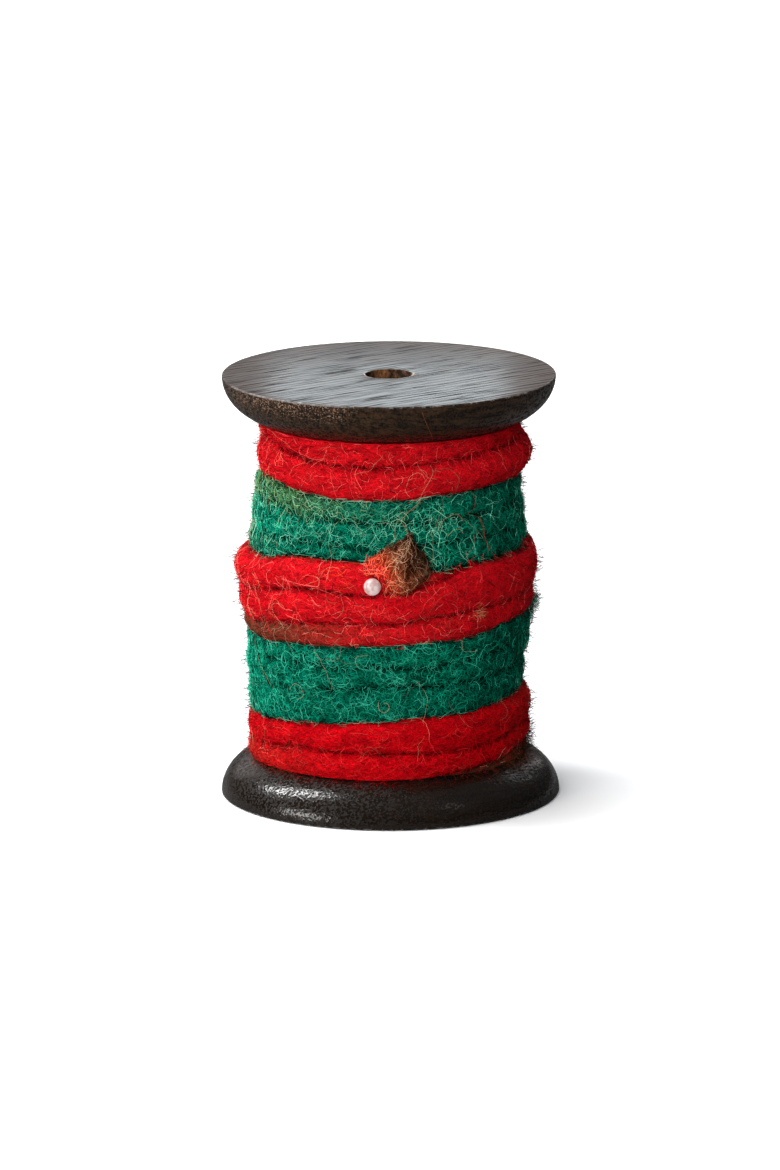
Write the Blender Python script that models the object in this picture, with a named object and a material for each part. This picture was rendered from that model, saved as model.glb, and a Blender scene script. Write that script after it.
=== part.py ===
"""A roll of fleece ribbon on a turned wooden spool, its end held by a pin with a pearl head.

Metres, +Z up. The origin is the centre of the spool's base, which stands on the floor. Azimuth 0 faces -Y,
where the pin is, and grows towards +X.
"""

import math
from bisect import bisect_right
from collections import namedtuple

import bmesh
import bpy
from mathutils import Matrix, Vector

MM = 0.001

# The spool: two turned discs on a tube, with one bore through all three
SPOOL_HEIGHT = 100.5 * MM
TOP_DISC_RADIUS = 39.25 * MM
BOTTOM_DISC_RADIUS = 40.0 * MM
DISC_THICKNESS = 10.8 * MM
RIM_FILLET = 0.95 * MM
SHOULDER_SHARE = 0.67  # where the curved shoulder meets the flat inner face, as a share of the disc's radius
SHOULDER_POWER = 1.95  # of the superellipse that the shoulder follows; 2 is a plain ellipse
BORE_RADIUS = 5.5 * MM
BORE_CHAMFER = 0.5 * MM
BARREL_RADIUS = 15.0 * MM
CLEARANCE = 0.3 * MM
MERGE_DISTANCE = 0.001 * MM

DISC_SEGMENTS = 64
BARREL_SEGMENTS = 48
FILLET_STEPS = 3
SHOULDER_STEPS = 7

# The winding. Each row is one turn of the ribbon. The first five columns are the height of its lower edge, in
# millimetres, at the azimuths in STATIONS. Then come the radius of its crest at the left and at the right, and
# how deep the groove under it is. Its upper edge is the lower edge of the row after it. Each turn runs on
# round the back into the row after it, so the edges are one long helix.
Turn = namedtuple("Turn", "left front_left front front_right right crest_left crest_right groove")
STATIONS = (-75.0, -38.0, 0.0, 38.0, 75.0)
TURNS = (
    Turn(1.0, 1.5, 2.0, 3.5, 6.0, 32.4, 32.0, 0.6),
    Turn(8.0, 9.3, 9.2, 11.3, 13.5, 33.3, 32.6, 0.6),
    Turn(14.8, 16.7, 16.6, 16.8, 19.5, 33.2, 32.8, 0.9),
    Turn(21.3, 23.1, 24.7, 26.1, 28.6, 33.0, 31.0, 0.7),
    Turn(29.3, 30.6, 32.3, 32.2, 34.2, 33.4, 32.5, 0.8),
    Turn(36.2, 36.7, 36.9, 37.9, 39.8, 33.3, 33.2, 0.6),
    Turn(39.8, 41.2, 42.5, 43.7, 46.0, 34.0, 33.5, 0.9),
    Turn(44.2, 46.8, 48.0, 49.6, 50.2, 35.2, 34.4, 0.7),
    Turn(51.8, 55.0, 55.0, 60.6, 60.6, 36.2, 33.6, 0.7),
    Turn(59.4, 62.4, 62.4, 60.9, 60.7, 32.7, 31.9, 0.8),
    Turn(65.2, 65.5, 65.3, 66.2, 66.0, 31.9, 31.3, 0.5),
    Turn(72.8, 71.6, 71.0, 71.6, 71.8, 31.1, 30.6, 0.5),
    Turn(78.6, 76.1, 75.4, 77.1, 78.0, 30.6, 33.2, 1.0),
    Turn(86.9, 84.6, 84.4, 85.7, 86.2, 30.2, 30.8, 0.8),
    Turn(92.5, 92.5, 92.5, 92.5, 93.0, 30.0, 30.0, 0.0),
)
CREST_AZIMUTHS = (-90.0, 90.0)
FULL_WIDTH = 4.0  # mm; a turn narrower than this doesn't rise to its whole crest
LEAST_WIDTH = 0.001  # mm
CREST_POWER = 0.6  # below 1 makes a turn's section full and its grooves narrow
WINDING_COLUMNS = 48
WINDING_ROWS = 80
END_STEPS = 3  # from the flat of a disc's inner face out along its shoulder
END_DEPTH = 10.0 * MM  # about how far inside the spool's ends the winding's outer edge lies

# The ribbon's frayed end, lying on the winding beside the pin: heights and lift above the winding, in mm
EndSection = namedtuple("EndSection", "azimuth low high lift")
END_SECTIONS = (
    EndSection(-10.0, 60.6, 62.6, 0.8),
    EndSection(-6.0, 60.3, 63.6, 1.6),
    EndSection(-2.0, 57.4, 64.9, 2.4),
    EndSection(2.0, 55.0, 66.3, 2.9),
    EndSection(6.0, 54.6, 68.0, 3.0),
    EndSection(10.0, 55.2, 67.0, 2.8),
    EndSection(14.0, 56.4, 63.4, 2.2),
    EndSection(17.0, 58.2, 61.2, 1.0),
)
END_ACROSS = 6
END_CLEARANCE = 0.7 * MM
RIM_LIFT_SHARE = 0.35  # the lift at the end's own edge, as a share of the lift at its middle

# The dress pin
HEAD_RADIUS = 2.0 * MM
HEAD_SINK = 0.9 * MM
HEAD_AZIMUTH = -6.4
HEAD_HEIGHT = 57.3 * MM
SHANK_RADIUS = 0.3 * MM
SHANK_LENGTH = 36.0 * MM
SHANK_POINT = 3.0 * MM
SHANK_SOCKET = 1.2 * MM
SHANK_SLANT = 40.0  # degrees off the straight way to the axis, so that it passes beside the barrel
SHANK_SIDES = 10
HEAD_COLUMNS = 24
HEAD_ROWS = 14


def material(name, colour, roughness, metallic=0.0):
    made = bpy.data.materials.new(name)
    made.use_nodes = True
    shader = made.node_tree.nodes["Principled BSDF"]
    shader.inputs["Base Color"].default_value = (*colour, 1.0)
    shader.inputs["Roughness"].default_value = roughness
    shader.inputs["Metallic"].default_value = metallic
    made.diffuse_color = (*colour, 1.0)
    return made


def add_object(name, bm, finish, smooth_below=35.0):
    """Makes an object of the bmesh, shaded smooth but for edges sharper than the angle."""
    mesh = bpy.data.meshes.new(name)
    bmesh.ops.recalc_face_normals(bm, faces=bm.faces)
    bm.to_mesh(mesh)
    bm.free()
    mesh.shade_smooth()
    mesh.set_sharp_from_angle(angle=math.radians(smooth_below))
    made = bpy.data.objects.new(name, mesh)
    made.data.materials.append(finish)
    bpy.context.collection.objects.link(made)
    return made


def polar(radius, azimuth, height):
    turn = math.radians(azimuth)
    return Vector((radius * math.sin(turn), -radius * math.cos(turn), height))


def turned(profile, segments):
    """A closed ring turned from (radius, height) points, given in order round the section."""
    bm = bmesh.new()
    verts = [bm.verts.new((radius, 0.0, height)) for radius, height in profile]
    edges = [bm.edges.new((a, b)) for a, b in zip(verts, verts[1:] + verts[:1])]
    bmesh.ops.spin(
        bm,
        geom=verts + edges,
        axis=(0, 0, 1),
        cent=(0, 0, 0),
        steps=segments,
        angle=2 * math.pi,
        use_merge=True,
    )
    bmesh.ops.remove_doubles(bm, verts=bm.verts, dist=MERGE_DISTANCE)
    return bm


def shoulder_height(radius, disc_radius):
    """How far the curved inner side of a disc stands above its outer face, at a radius."""
    inner = SHOULDER_SHARE * disc_radius
    reach = min(max((radius - inner) / (disc_radius - inner), 0.0), 1.0)
    rise = (1 - reach**SHOULDER_POWER) ** (1 / SHOULDER_POWER)
    return RIM_FILLET + (DISC_THICKNESS - RIM_FILLET) * rise


def disc_profile(disc_radius):
    """The disc's section with its outer face at height 0, from the bore outwards and back."""
    points = [
        (BORE_RADIUS, BORE_CHAMFER),
        (BORE_RADIUS + BORE_CHAMFER, 0.0),
    ]
    for step in range(FILLET_STEPS + 1):
        turn = 0.5 * math.pi * step / FILLET_STEPS
        points.append(
            (
                disc_radius - RIM_FILLET * (1 - math.sin(turn)),
                RIM_FILLET * (1 - math.cos(turn)),
            )
        )
    inner = SHOULDER_SHARE * disc_radius
    for step in range(1, SHOULDER_STEPS + 1):
        turn = 0.5 * math.pi * step / SHOULDER_STEPS
        radius = inner + (disc_radius - inner) * math.cos(turn) ** (2 / SHOULDER_POWER)
        if step == SHOULDER_STEPS:
            radius = inner
        points.append((radius, shoulder_height(radius, disc_radius)))
    points.append((BORE_RADIUS, DISC_THICKNESS))
    return points


def make_discs():
    for name, radius, colour, flipped in (
        ("flange_bottom", BOTTOM_DISC_RADIUS, (0.030, 0.018, 0.012), False),
        ("flange_top", TOP_DISC_RADIUS, (0.036, 0.024, 0.018), True),
    ):
        profile = disc_profile(radius)
        if flipped:
            profile = [(r, SPOOL_HEIGHT - z) for r, z in profile]
        add_object(name, turned(profile, DISC_SEGMENTS), material(name, colour, 0.42))


def make_barrel():
    low = DISC_THICKNESS + CLEARANCE
    high = SPOOL_HEIGHT - low
    profile = [
        (BORE_RADIUS, low),
        (BARREL_RADIUS, low),
        (BARREL_RADIUS, high),
        (BORE_RADIUS, high),
    ]
    finish = material("barrel", (0.16, 0.085, 0.045), 0.7)
    add_object("barrel", turned(profile, BARREL_SEGMENTS), finish)


def through(places, values, at):
    """A smooth curve through the points, read at one place (cubic, with each slope from its two neighbours)."""
    span = min(max(bisect_right(places, at) - 1, 0), len(places) - 2)

    def slope(i):
        before, after = max(i - 1, 0), min(i + 1, len(places) - 1)
        return (values[after] - values[before]) / (places[after] - places[before])

    length = places[span + 1] - places[span]
    t = min(max((at - places[span]) / length, 0.0), 1.0)
    return (
        (2 * t**3 - 3 * t**2 + 1) * values[span]
        + (t**3 - 2 * t**2 + t) * length * slope(span)
        + (3 * t**2 - 2 * t**3) * values[span + 1]
        + (t**3 - t**2) * length * slope(span + 1)
    )


EDGE_PLACES = [360.0 * n + station for n in range(len(TURNS)) for station in STATIONS]
EDGE_HEIGHTS = [height for turn in TURNS for height in turn[: len(STATIONS)]]
CREST_PLACES = [360.0 * n + azimuth for n in range(len(TURNS)) for azimuth in CREST_AZIMUTHS]
CREST_RADII = [radius for turn in TURNS for radius in (turn.crest_left, turn.crest_right)]


def turn_edges(azimuth):
    """The heights of the turns' lower edges at an azimuth, in mm, bottom to top."""
    return [through(EDGE_PLACES, EDGE_HEIGHTS, 360.0 * n + azimuth) for n in range(len(TURNS))]


def turn_crests(azimuth):
    return [through(CREST_PLACES, CREST_RADII, 360.0 * n + azimuth) for n in range(len(TURNS))]


def winding_radius(azimuth, height):
    """The radius of the winding's surface, in metres: full rounded turns with a groove between neighbours."""
    azimuth = (azimuth + 180.0) % 360.0 - 180.0
    edges, crests = turn_edges(azimuth), turn_crests(azimuth)
    z = height / MM
    n = min(max(bisect_right(edges, z) - 1, 0), len(TURNS) - 2)
    below = min(crests[max(n - 1, 0)], crests[n]) - TURNS[n].groove
    above = min(crests[n], crests[n + 1]) - TURNS[n + 1].groove
    width = max(edges[n + 1] - edges[n], LEAST_WIDTH)
    share = min(max((z - edges[n]) / width, 0.0), 1.0)
    groove = below if share < 0.5 else above
    rise = math.sin(math.pi * share) ** CREST_POWER
    full = min(width / FULL_WIDTH, 1.0)
    return (groove + (crests[n] - groove) * rise * full) * MM


def winding_section(azimuth):
    """(radius, height) points round the winding's section at an azimuth, from the barrel's foot outwards."""
    inner = BARREL_RADIUS + CLEARANCE
    ends = []
    for disc_radius, height in ((BOTTOM_DISC_RADIUS, END_DEPTH), (TOP_DISC_RADIUS, SPOOL_HEIGHT - END_DEPTH)):
        edge = winding_radius(azimuth, height)
        flat = SHOULDER_SHARE * disc_radius
        foot = [(inner, DISC_THICKNESS + CLEARANCE)]
        for step in range(END_STEPS + 1):
            radius = flat + (edge - flat) * step / END_STEPS
            foot.append((radius, shoulder_height(radius, disc_radius) + CLEARANCE))
        ends.append(foot)
    bottom, top = ends[0], [(r, SPOOL_HEIGHT - z) for r, z in ends[1]]
    low, high = bottom[-1][1], top[-1][1]
    wall = []
    for row in range(1, WINDING_ROWS):
        height = low + (high - low) * row / WINDING_ROWS
        wall.append((winding_radius(azimuth, height), height))
    return bottom + wall + top[::-1]


def make_cutter(name, bm):
    """A solid that is only cut away from others."""
    mesh = bpy.data.meshes.new(name)
    bmesh.ops.recalc_face_normals(bm, faces=bm.faces)
    bm.to_mesh(mesh)
    bm.free()
    cutter = bpy.data.objects.new(name, mesh)
    cutter.hide_render = True
    cutter.display_type = "WIRE"
    bpy.context.collection.objects.link(cutter)
    return cutter


def cut(target, cutter):
    boolean = target.modifiers.new(cutter.name, "BOOLEAN")
    boolean.operation = "DIFFERENCE"
    boolean.solver = "EXACT"
    boolean.object = cutter


def make_winding():
    bm = bmesh.new()
    rings = []
    for column in range(WINDING_COLUMNS):
        azimuth = 360.0 * column / WINDING_COLUMNS - 180.0
        rings.append([bm.verts.new(polar(r, azimuth, z)) for r, z in winding_section(azimuth)])
    count = len(rings[0])
    for ring, following in zip(rings, rings[1:] + rings[:1]):
        for i in range(count):
            j = (i + 1) % count
            bm.faces.new((ring[i], following[i], following[j], ring[j]))
    finish = material("wound_ribbon", (0.50, 0.02, 0.03), 0.95)
    return add_object("wound_ribbon", bm, finish, smooth_below=60.0)


def end_section(section):
    """One closed loop round the frayed end's section: its under side, then its domed outer side."""
    under, outer = [], []
    for step in range(END_ACROSS + 1):
        share = step / END_ACROSS
        height = (section.low + (section.high - section.low) * share) * MM
        base = winding_radius(section.azimuth, height) + END_CLEARANCE
        dome = RIM_LIFT_SHARE + (1 - RIM_LIFT_SHARE) * math.sin(math.pi * share)
        under.append((base, height))
        outer.append((base + section.lift * MM * dome, height))
    return [polar(r, section.azimuth, z) for r, z in under + outer[::-1]]


def make_loose_end():
    bm = bmesh.new()
    loops = [[bm.verts.new(place) for place in end_section(s)] for s in END_SECTIONS]
    count = len(loops[0])
    for loop, following in zip(loops, loops[1:]):
        for i in range(count):
            j = (i + 1) % count
            bm.faces.new((loop[i], following[i], following[j], loop[j]))
    for loop in (loops[0], loops[-1]):
        for i in range(END_ACROSS):
            bm.faces.new((loop[i], loop[i + 1], loop[count - 2 - i], loop[count - 1 - i]))
    finish = material("loose_end", (0.42, 0.11, 0.05), 0.95)
    add_object("loose_end", bm, finish, smooth_below=60.0)


def pin_frame():
    """The head's centre, and the way that the shank goes from it into the winding."""
    out = polar(1.0, HEAD_AZIMUTH, 0.0)
    along = polar(1.0, HEAD_AZIMUTH + 90.0, 0.0)
    reach = winding_radius(HEAD_AZIMUTH, HEAD_HEIGHT) + HEAD_RADIUS - HEAD_SINK
    centre = out * reach + Vector((0, 0, HEAD_HEIGHT))
    slant = math.radians(SHANK_SLANT)
    return centre, (along * math.sin(slant) - out * math.cos(slant)).normalized()


def rod(start, way, length, radius, point=0.0):
    """A round rod from start along way, with a tapered point of that length at its far end."""
    bm = bmesh.new()
    place = Matrix.Translation(start) @ way.to_track_quat("Z", "Y").to_matrix().to_4x4()
    straight = length - point
    bmesh.ops.create_cone(
        bm,
        cap_ends=True,
        segments=SHANK_SIDES,
        radius1=radius,
        radius2=radius,
        depth=straight,
        matrix=place @ Matrix.Translation((0, 0, straight / 2)),
    )
    if point:
        bm.faces.ensure_lookup_table()
        tip = max(bm.faces, key=lambda face: face.calc_center_median().dot(way))
        end = start + way * length
        bmesh.ops.poke(bm, faces=[tip])
        bm.verts.ensure_lookup_table()
        bm.verts[-1].co = end
    return bm


def ball(centre, radius):
    bm = bmesh.new()
    bmesh.ops.create_uvsphere(
        bm,
        u_segments=HEAD_COLUMNS,
        v_segments=HEAD_ROWS,
        radius=radius,
        matrix=Matrix.Translation(centre),
    )
    return bm


def make_pin(winding):
    centre, way = pin_frame()
    socket_floor = centre + way * (HEAD_RADIUS - SHANK_SOCKET)
    pearl = material("pin_head", (0.86, 0.80, 0.77), 0.22)
    head = add_object("pin_head", ball(centre, HEAD_RADIUS), pearl)
    shank = rod(socket_floor + way * CLEARANCE, way, SHANK_LENGTH, SHANK_RADIUS, SHANK_POINT)
    add_object("pin_shank", shank, material("pin_shank", (0.62, 0.62, 0.60), 0.25, 1.0))
    channel_length = SHANK_LENGTH + 2 * CLEARANCE
    channel = make_cutter("shank_channel", rod(socket_floor, way, channel_length, SHANK_RADIUS + CLEARANCE))
    pocket = make_cutter("head_pocket", ball(centre, HEAD_RADIUS + CLEARANCE))
    cut(head, channel)
    cut(winding, channel)
    cut(winding, pocket)


def main():
    for old in list(bpy.data.objects):
        bpy.data.objects.remove(old, do_unlink=True)
    make_discs()
    make_barrel()
    winding = make_winding()
    make_loose_end()
    make_pin(winding)


main()
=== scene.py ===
"""Looks of the roll of fleece ribbon: a turned wooden spool, hairy wool winding, frayed end and pin.

Azimuths are degrees round the spool's axis: 0 faces the camera (-Y), and they grow towards +X.
A place along the ribbon is 360 degrees for each turn, counted from the bottom turn, plus the azimuth.
Radii, heights and lengths of the winding are in millimetres until a mesh is made of them.
"""

import math
from collections import namedtuple

import bpy
import numpy as np
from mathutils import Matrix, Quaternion, Vector


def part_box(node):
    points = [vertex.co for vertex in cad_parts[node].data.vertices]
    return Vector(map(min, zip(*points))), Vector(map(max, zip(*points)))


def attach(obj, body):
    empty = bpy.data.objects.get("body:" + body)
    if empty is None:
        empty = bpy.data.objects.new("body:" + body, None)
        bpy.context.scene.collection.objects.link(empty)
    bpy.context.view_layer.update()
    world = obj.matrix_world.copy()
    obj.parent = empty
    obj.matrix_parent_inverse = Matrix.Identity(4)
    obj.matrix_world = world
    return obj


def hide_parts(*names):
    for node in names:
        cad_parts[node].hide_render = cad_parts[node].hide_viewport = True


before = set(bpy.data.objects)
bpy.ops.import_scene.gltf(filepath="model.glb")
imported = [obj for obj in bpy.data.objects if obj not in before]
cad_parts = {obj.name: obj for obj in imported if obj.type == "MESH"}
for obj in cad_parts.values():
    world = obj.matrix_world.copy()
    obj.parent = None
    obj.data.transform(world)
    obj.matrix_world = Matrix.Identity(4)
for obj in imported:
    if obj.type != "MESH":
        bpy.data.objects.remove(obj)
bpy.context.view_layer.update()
MM = 0.001
BODY = "root"
SEED = 20

# The spool, in metres, from the frame
BOTTOM_DISC_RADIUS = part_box("flange_bottom")[1].x
TOP_DISC_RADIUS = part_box("flange_top")[1].x
DISC_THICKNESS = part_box("flange_bottom")[1].z
SPOOL_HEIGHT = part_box("flange_top")[1].z
BARREL_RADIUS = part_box("barrel")[1].x
BORE_RADIUS = 5.5 * MM
BORE_CHAMFER = 0.5 * MM
RIM_FILLET = 0.3 * MM
SHOULDER_SHARE = 0.67  # where a disc's inner face starts to curve down, as a share of its radius
SHOULDER_POWER = 1.95
DISC_STEPS = 192
MERGE_DISTANCE = 0.001 * MM

# The winding: each turn's lower edge at the stations' azimuths, its crests at the sides, its groove below
Turn = namedtuple("Turn", "left front_left front front_right right crest_left crest_right groove")
STATIONS = (-75.0, -38.0, 0.0, 38.0, 75.0)
CREST_AZIMUTHS = (-90.0, 90.0)
TURNS = (
    Turn(1.0, 1.5, 2.0, 3.5, 6.0, 32.4, 32.0, 0.6),
    Turn(8.0, 9.3, 9.2, 11.3, 13.5, 33.3, 32.6, 0.6),
    Turn(14.6, 16.4, 16.4, 16.5, 18.2, 33.2, 32.8, 0.9),
    Turn(20.8, 22.5, 24.3, 25.1, 26.0, 33.0, 31.2, 0.7),
    Turn(29.3, 30.6, 32.3, 32.2, 34.2, 33.4, 32.5, 0.8),
    Turn(36.2, 36.7, 36.9, 37.9, 39.8, 33.3, 33.2, 0.6),
    Turn(40.2, 41.3, 42.6, 43.5, 45.3, 34.0, 33.5, 0.9),
    Turn(44.2, 46.8, 48.0, 49.6, 50.2, 35.2, 34.4, 0.7),
    Turn(51.8, 55.0, 55.0, 60.6, 60.6, 36.2, 33.6, 0.7),
    Turn(59.7, 62.1, 62.5, 60.9, 61.0, 32.7, 31.9, 0.8),
    Turn(65.2, 65.5, 65.3, 66.2, 66.0, 31.9, 31.3, 0.5),
    Turn(72.8, 71.6, 71.0, 71.6, 71.8, 31.1, 30.6, 0.5),
    Turn(78.6, 76.9, 76.4, 77.8, 77.7, 30.6, 33.2, 1.0),
    Turn(86.9, 84.6, 84.4, 85.7, 86.2, 30.2, 30.8, 0.8),
    Turn(92.5, 92.5, 92.5, 92.5, 93.0, 30.0, 30.0, 0.0),
)
LENGTH_ROUND = 360.0 * len(TURNS)
WAVER = 0.09
WAVER_RATES = (3.3, 5.1, 7.7, 11.3, 17.9)
DIP_PLACE = 3261.0
DIP_REACH = 11.0
DIP_DEPTH = 2.0
FULL_WIDTH = 4.0
LEAST_WIDTH = 0.001
CREST_POWER = 0.6
CLEARANCE = 0.3
END_DEPTH = 10.0
# Painted shade close to the grooves: how much it darkens the wool, and (GROOVE_REACH) over how far
PAINTED_GROOVE_SHADE = 0.42
# How much lighter the red bands' packed ground is: less painted shade between their fibres
CALM_LIFT = 0.36
GROOVE_REACH = 0.5
WINDING_COLUMNS = 216
WINDING_CUTS = (14, 9)
WINDING_FOOT_ROWS = 5
RELIEF = 0.10
RELIEF_FADE = 0.1  # each end's share of the winding over which its relief grows
START_RADIUS = 30 * MM  # of the plain tube that becomes the winding
MIDDLE_HEIGHT = 50.0

# Wool dyes: where along the ribbon each one is, in degrees, with the colour that its palest hairs add.
# The winding skips those from LAST_RED to LAST_TURN_END, which are the frayed end's and some single hairs'
LAST_RED = 2850.0
LAST_TURN_END = 3060.0
RED = (0.62, 0.006, 0.012)
# The bottom red and the lower green are the upper bands' red and green made darker: darker towards the bottom
LOW_BAND_RED = (0.52, 0.002, 0.006)
GREEN = (0.001, 0.37, 0.215)
LOW_BAND_GREEN = (0.001, 0.30, 0.175)
BROWN = (0.15, 0.042, 0.020)
OLIVE = (0.125, 0.33, 0.12)
ORANGE = (0.70, 0.042, 0.010)
TERRACOTTA = (0.35, 0.080, 0.026)
DARK_BROWN = (0.058, 0.020, 0.006)
CORAL = (0.47, 0.27, 0.21)
MINT = (0.46, 0.76, 0.61)
AQUA = (0.14, 0.60, 0.45)
TAN = (0.85, 0.62, 0.44)
AMBER = (0.40, 0.15, 0.06)
STRAW = (0.80, 0.48, 0.29)
ROSE = (0.25, 0.08, 0.06)
DYES = (
    (0, BROWN, TAN),
    (150, BROWN, TAN),
    (330, LOW_BAND_RED, ROSE),
    (790, LOW_BAND_RED, ROSE),
    (900, BROWN, TAN),
    (990, LOW_BAND_GREEN, AQUA),
    (1890, LOW_BAND_GREEN, AQUA),
    (2060, BROWN, TAN),
    (2108, BROWN, TAN),
    (2150, RED, CORAL),
    (2870, RED, CORAL),
    (2900, ORANGE, AMBER),
    (2950, TERRACOTTA, STRAW),
    (3040, BROWN, STRAW),
    (3110, DARK_BROWN, STRAW),
    (3190, GREEN, MINT),
    (3840, GREEN, MINT),
    (3880, OLIVE, TAN),
    (3910, OLIVE, TAN),
    (3950, GREEN, MINT),
    (4080, GREEN, MINT),
    (4140, BROWN, TAN),
    (4210, RED, CORAL),
    (5400, RED, CORAL),
)


def through(places, values, at):
    """A smooth curve through the points, read at many places, with slopes from neighbouring points."""
    places, values, at = np.asarray(places), np.asarray(values), np.asarray(at)
    before = np.maximum(np.arange(len(places)) - 1, 0)
    after = np.minimum(np.arange(len(places)) + 1, len(places) - 1)
    slopes = (values[after] - values[before]) / (places[after] - places[before])
    span = np.clip(np.searchsorted(places, at, side="right") - 1, 0, len(places) - 2)
    length = places[span + 1] - places[span]
    t = np.clip((at - places[span]) / length, 0.0, 1.0)
    return (
        (2 * t**3 - 3 * t**2 + 1) * values[span]
        + (t**3 - 2 * t**2 + t) * length * slopes[span]
        + (3 * t**2 - 2 * t**3) * values[span + 1]
        + (t**3 - t**2) * length * slopes[span + 1]
    )


EDGE_PLACES = [360.0 * n + station for n in range(len(TURNS)) for station in STATIONS]
EDGE_HEIGHTS = [height for turn in TURNS for height in turn[: len(STATIONS)]]
CREST_PLACES = [360.0 * n + azimuth for n in range(len(TURNS)) for azimuth in CREST_AZIMUTHS]
CREST_RADII = [radius for turn in TURNS for radius in (turn.crest_left, turn.crest_right)]
GROOVE_PLACES = [360.0 * n for n in range(len(TURNS))]
GROOVE_DEPTHS = [turn.groove for turn in TURNS]


def lower_edge(along):
    """The height of a turn's lower edge, with a little waver of its own and a dip beside the frayed end."""
    waver = sum(np.cos(np.radians(along) * rate + 7.0 * rate) for rate in WAVER_RATES)
    dip = DIP_DEPTH * np.exp(-(((along - DIP_PLACE) / DIP_REACH) ** 2))
    return through(EDGE_PLACES, EDGE_HEIGHTS, along) + WAVER * waver - dip


def turn_width(along):
    return np.maximum(lower_edge(along + 360.0) - lower_edge(along), LEAST_WIDTH)


def surface_radius(along, share):
    """The winding's radius at a place along the ribbon and a share of its width, 0 at the lower edge."""
    turn_below, crest, turn_above = (
        through(CREST_PLACES, CREST_RADII, along + 360.0 * turns) for turns in (-1, 0, 1)
    )
    groove_below, groove_above = (
        through(GROOVE_PLACES, GROOVE_DEPTHS, along + 360.0 * turns) for turns in (0, 1)
    )
    below = np.minimum(turn_below, crest) - groove_below
    above = np.minimum(crest, turn_above) - groove_above
    groove = np.where(share < 0.5, below, above)
    rise = np.sin(np.pi * np.clip(share, 0.0, 1.0)) ** CREST_POWER
    full = np.minimum(turn_width(along) / FULL_WIDTH, 1.0)
    return groove + (crest - groove) * rise * full


def painted_groove_shade(along, share):
    """Painted shade: how much darker the wool is drawn close to a groove."""
    near = np.minimum(share, 1.0 - share) * turn_width(along)
    return PAINTED_GROOVE_SHADE * np.exp(-((near / GROOVE_REACH) ** 2))


def turn_at(azimuth, height):
    """The place along the ribbon, and the share of its width, at azimuths and heights on the winding."""
    azimuth = (azimuth + 180.0) % 360.0 - 180.0
    starts = 360.0 * np.arange(len(TURNS))
    edges = lower_edge(azimuth[..., None] + starts)
    turn = np.clip((edges <= height[..., None]).sum(axis=-1) - 1, 0, len(TURNS) - 2)
    along = azimuth + 360.0 * turn
    share = (height - lower_edge(along)) / turn_width(along)
    return along, np.clip(share, 0.0, 1.0)


def radius_at(azimuth, height):
    return surface_radius(*turn_at(azimuth, height))


def ribbon_dye(along):
    """The ribbon's dyes as the winding shows them: its last turn stays red up to where it ends."""
    return np.where((along > LAST_RED) & (along < LAST_TURN_END), LAST_RED, along)


def polar(radius, azimuth, height):
    """Places in metres."""
    turn = np.radians(azimuth)
    return np.stack((radius * np.sin(turn), -radius * np.cos(turn), height + 0.0 * turn), axis=-1) * MM


class Waves:
    """A smooth random field round the winding: a sum of waves, made once from a seed."""

    def __init__(self, seed, count, round_waves, up_waves):
        rng = np.random.default_rng(seed)
        self.round = rng.integers(-round_waves, round_waves + 1, count)
        self.up = rng.uniform(0.2, 1.0, count) * up_waves
        self.phase = rng.uniform(0.0, 2.0 * np.pi, count)
        self.scale = math.sqrt(2.0 / count)

    def __call__(self, azimuth, height):
        total = np.zeros(np.broadcast(azimuth, height).shape)
        for around, up, phase in zip(self.round, self.up, self.phase):
            total += np.cos(np.radians(azimuth) * around + height * up + phase)
        return total * self.scale


SWIRL = Waves(SEED + 1, 16, 26, 0.9)
STREAKS = Waves(SEED + 2, 26, 40, 4.5)
LUMPS = Waves(SEED + 3, 16, 22, 1.1)


# Nodes


def new_material(name, **constants):
    """A material with its Principled shader, whose constant sockets are set by name."""
    made = bpy.data.materials.new(name)
    made.use_nodes = True
    shader = made.node_tree.nodes["Principled BSDF"]
    for socket, value in constants.items():
        shader.inputs[socket.replace("_", " ").title().replace("Ior", "IOR")].default_value = value
    return made, made.node_tree, shader


def feed(tree, sockets, values):
    """Links other nodes' outputs to sockets, or sets the sockets to plain values."""
    for socket, value in values.items():
        if isinstance(value, bpy.types.NodeSocket):
            tree.links.new(value, sockets[socket])
        else:
            sockets[socket].default_value = value


def node(tree, kind, inputs=None, **settings):
    """Adds a node, sets it, and feeds its inputs."""
    made = tree.nodes.new(kind)
    for name, value in settings.items():
        setattr(made, name, value)
    feed(tree, made.inputs, inputs or {})
    return made


def math_node(tree, operation, first, second=0.0, clamp=False):
    inputs = {0: first, 1: second}
    return node(tree, "ShaderNodeMath", inputs, operation=operation, use_clamp=clamp).outputs[0]


def plus(tree, first, second, clamp=False):
    return math_node(tree, "ADD", first, second, clamp)


def minus(tree, first, second, clamp=False):
    return math_node(tree, "SUBTRACT", first, second, clamp)


def times(tree, first, second):
    return math_node(tree, "MULTIPLY", first, second)


def divided(tree, first, second):
    return math_node(tree, "DIVIDE", first, second)


def larger(tree, first, second):
    return math_node(tree, "MAXIMUM", first, second)


def apart(tree, first, second):
    """How far two numbers are apart."""
    return math_node(tree, "ABSOLUTE", minus(tree, first, second))


def stretch(tree, vector, by):
    """A vector with each of its parts multiplied by its own number."""
    return node(tree, "ShaderNodeVectorMath", {0: vector, 1: by}, operation="MULTIPLY").outputs[0]


def mix_colour(tree, factor, first, second, blend="MIX"):
    inputs = {0: factor}
    for socket, colour in ((6, first), (7, second)):
        inputs[socket] = colour if isinstance(colour, bpy.types.NodeSocket) else (*colour, 1.0)
    return node(tree, "ShaderNodeMix", inputs, data_type="RGBA", blend_type=blend).outputs[2]


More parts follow.
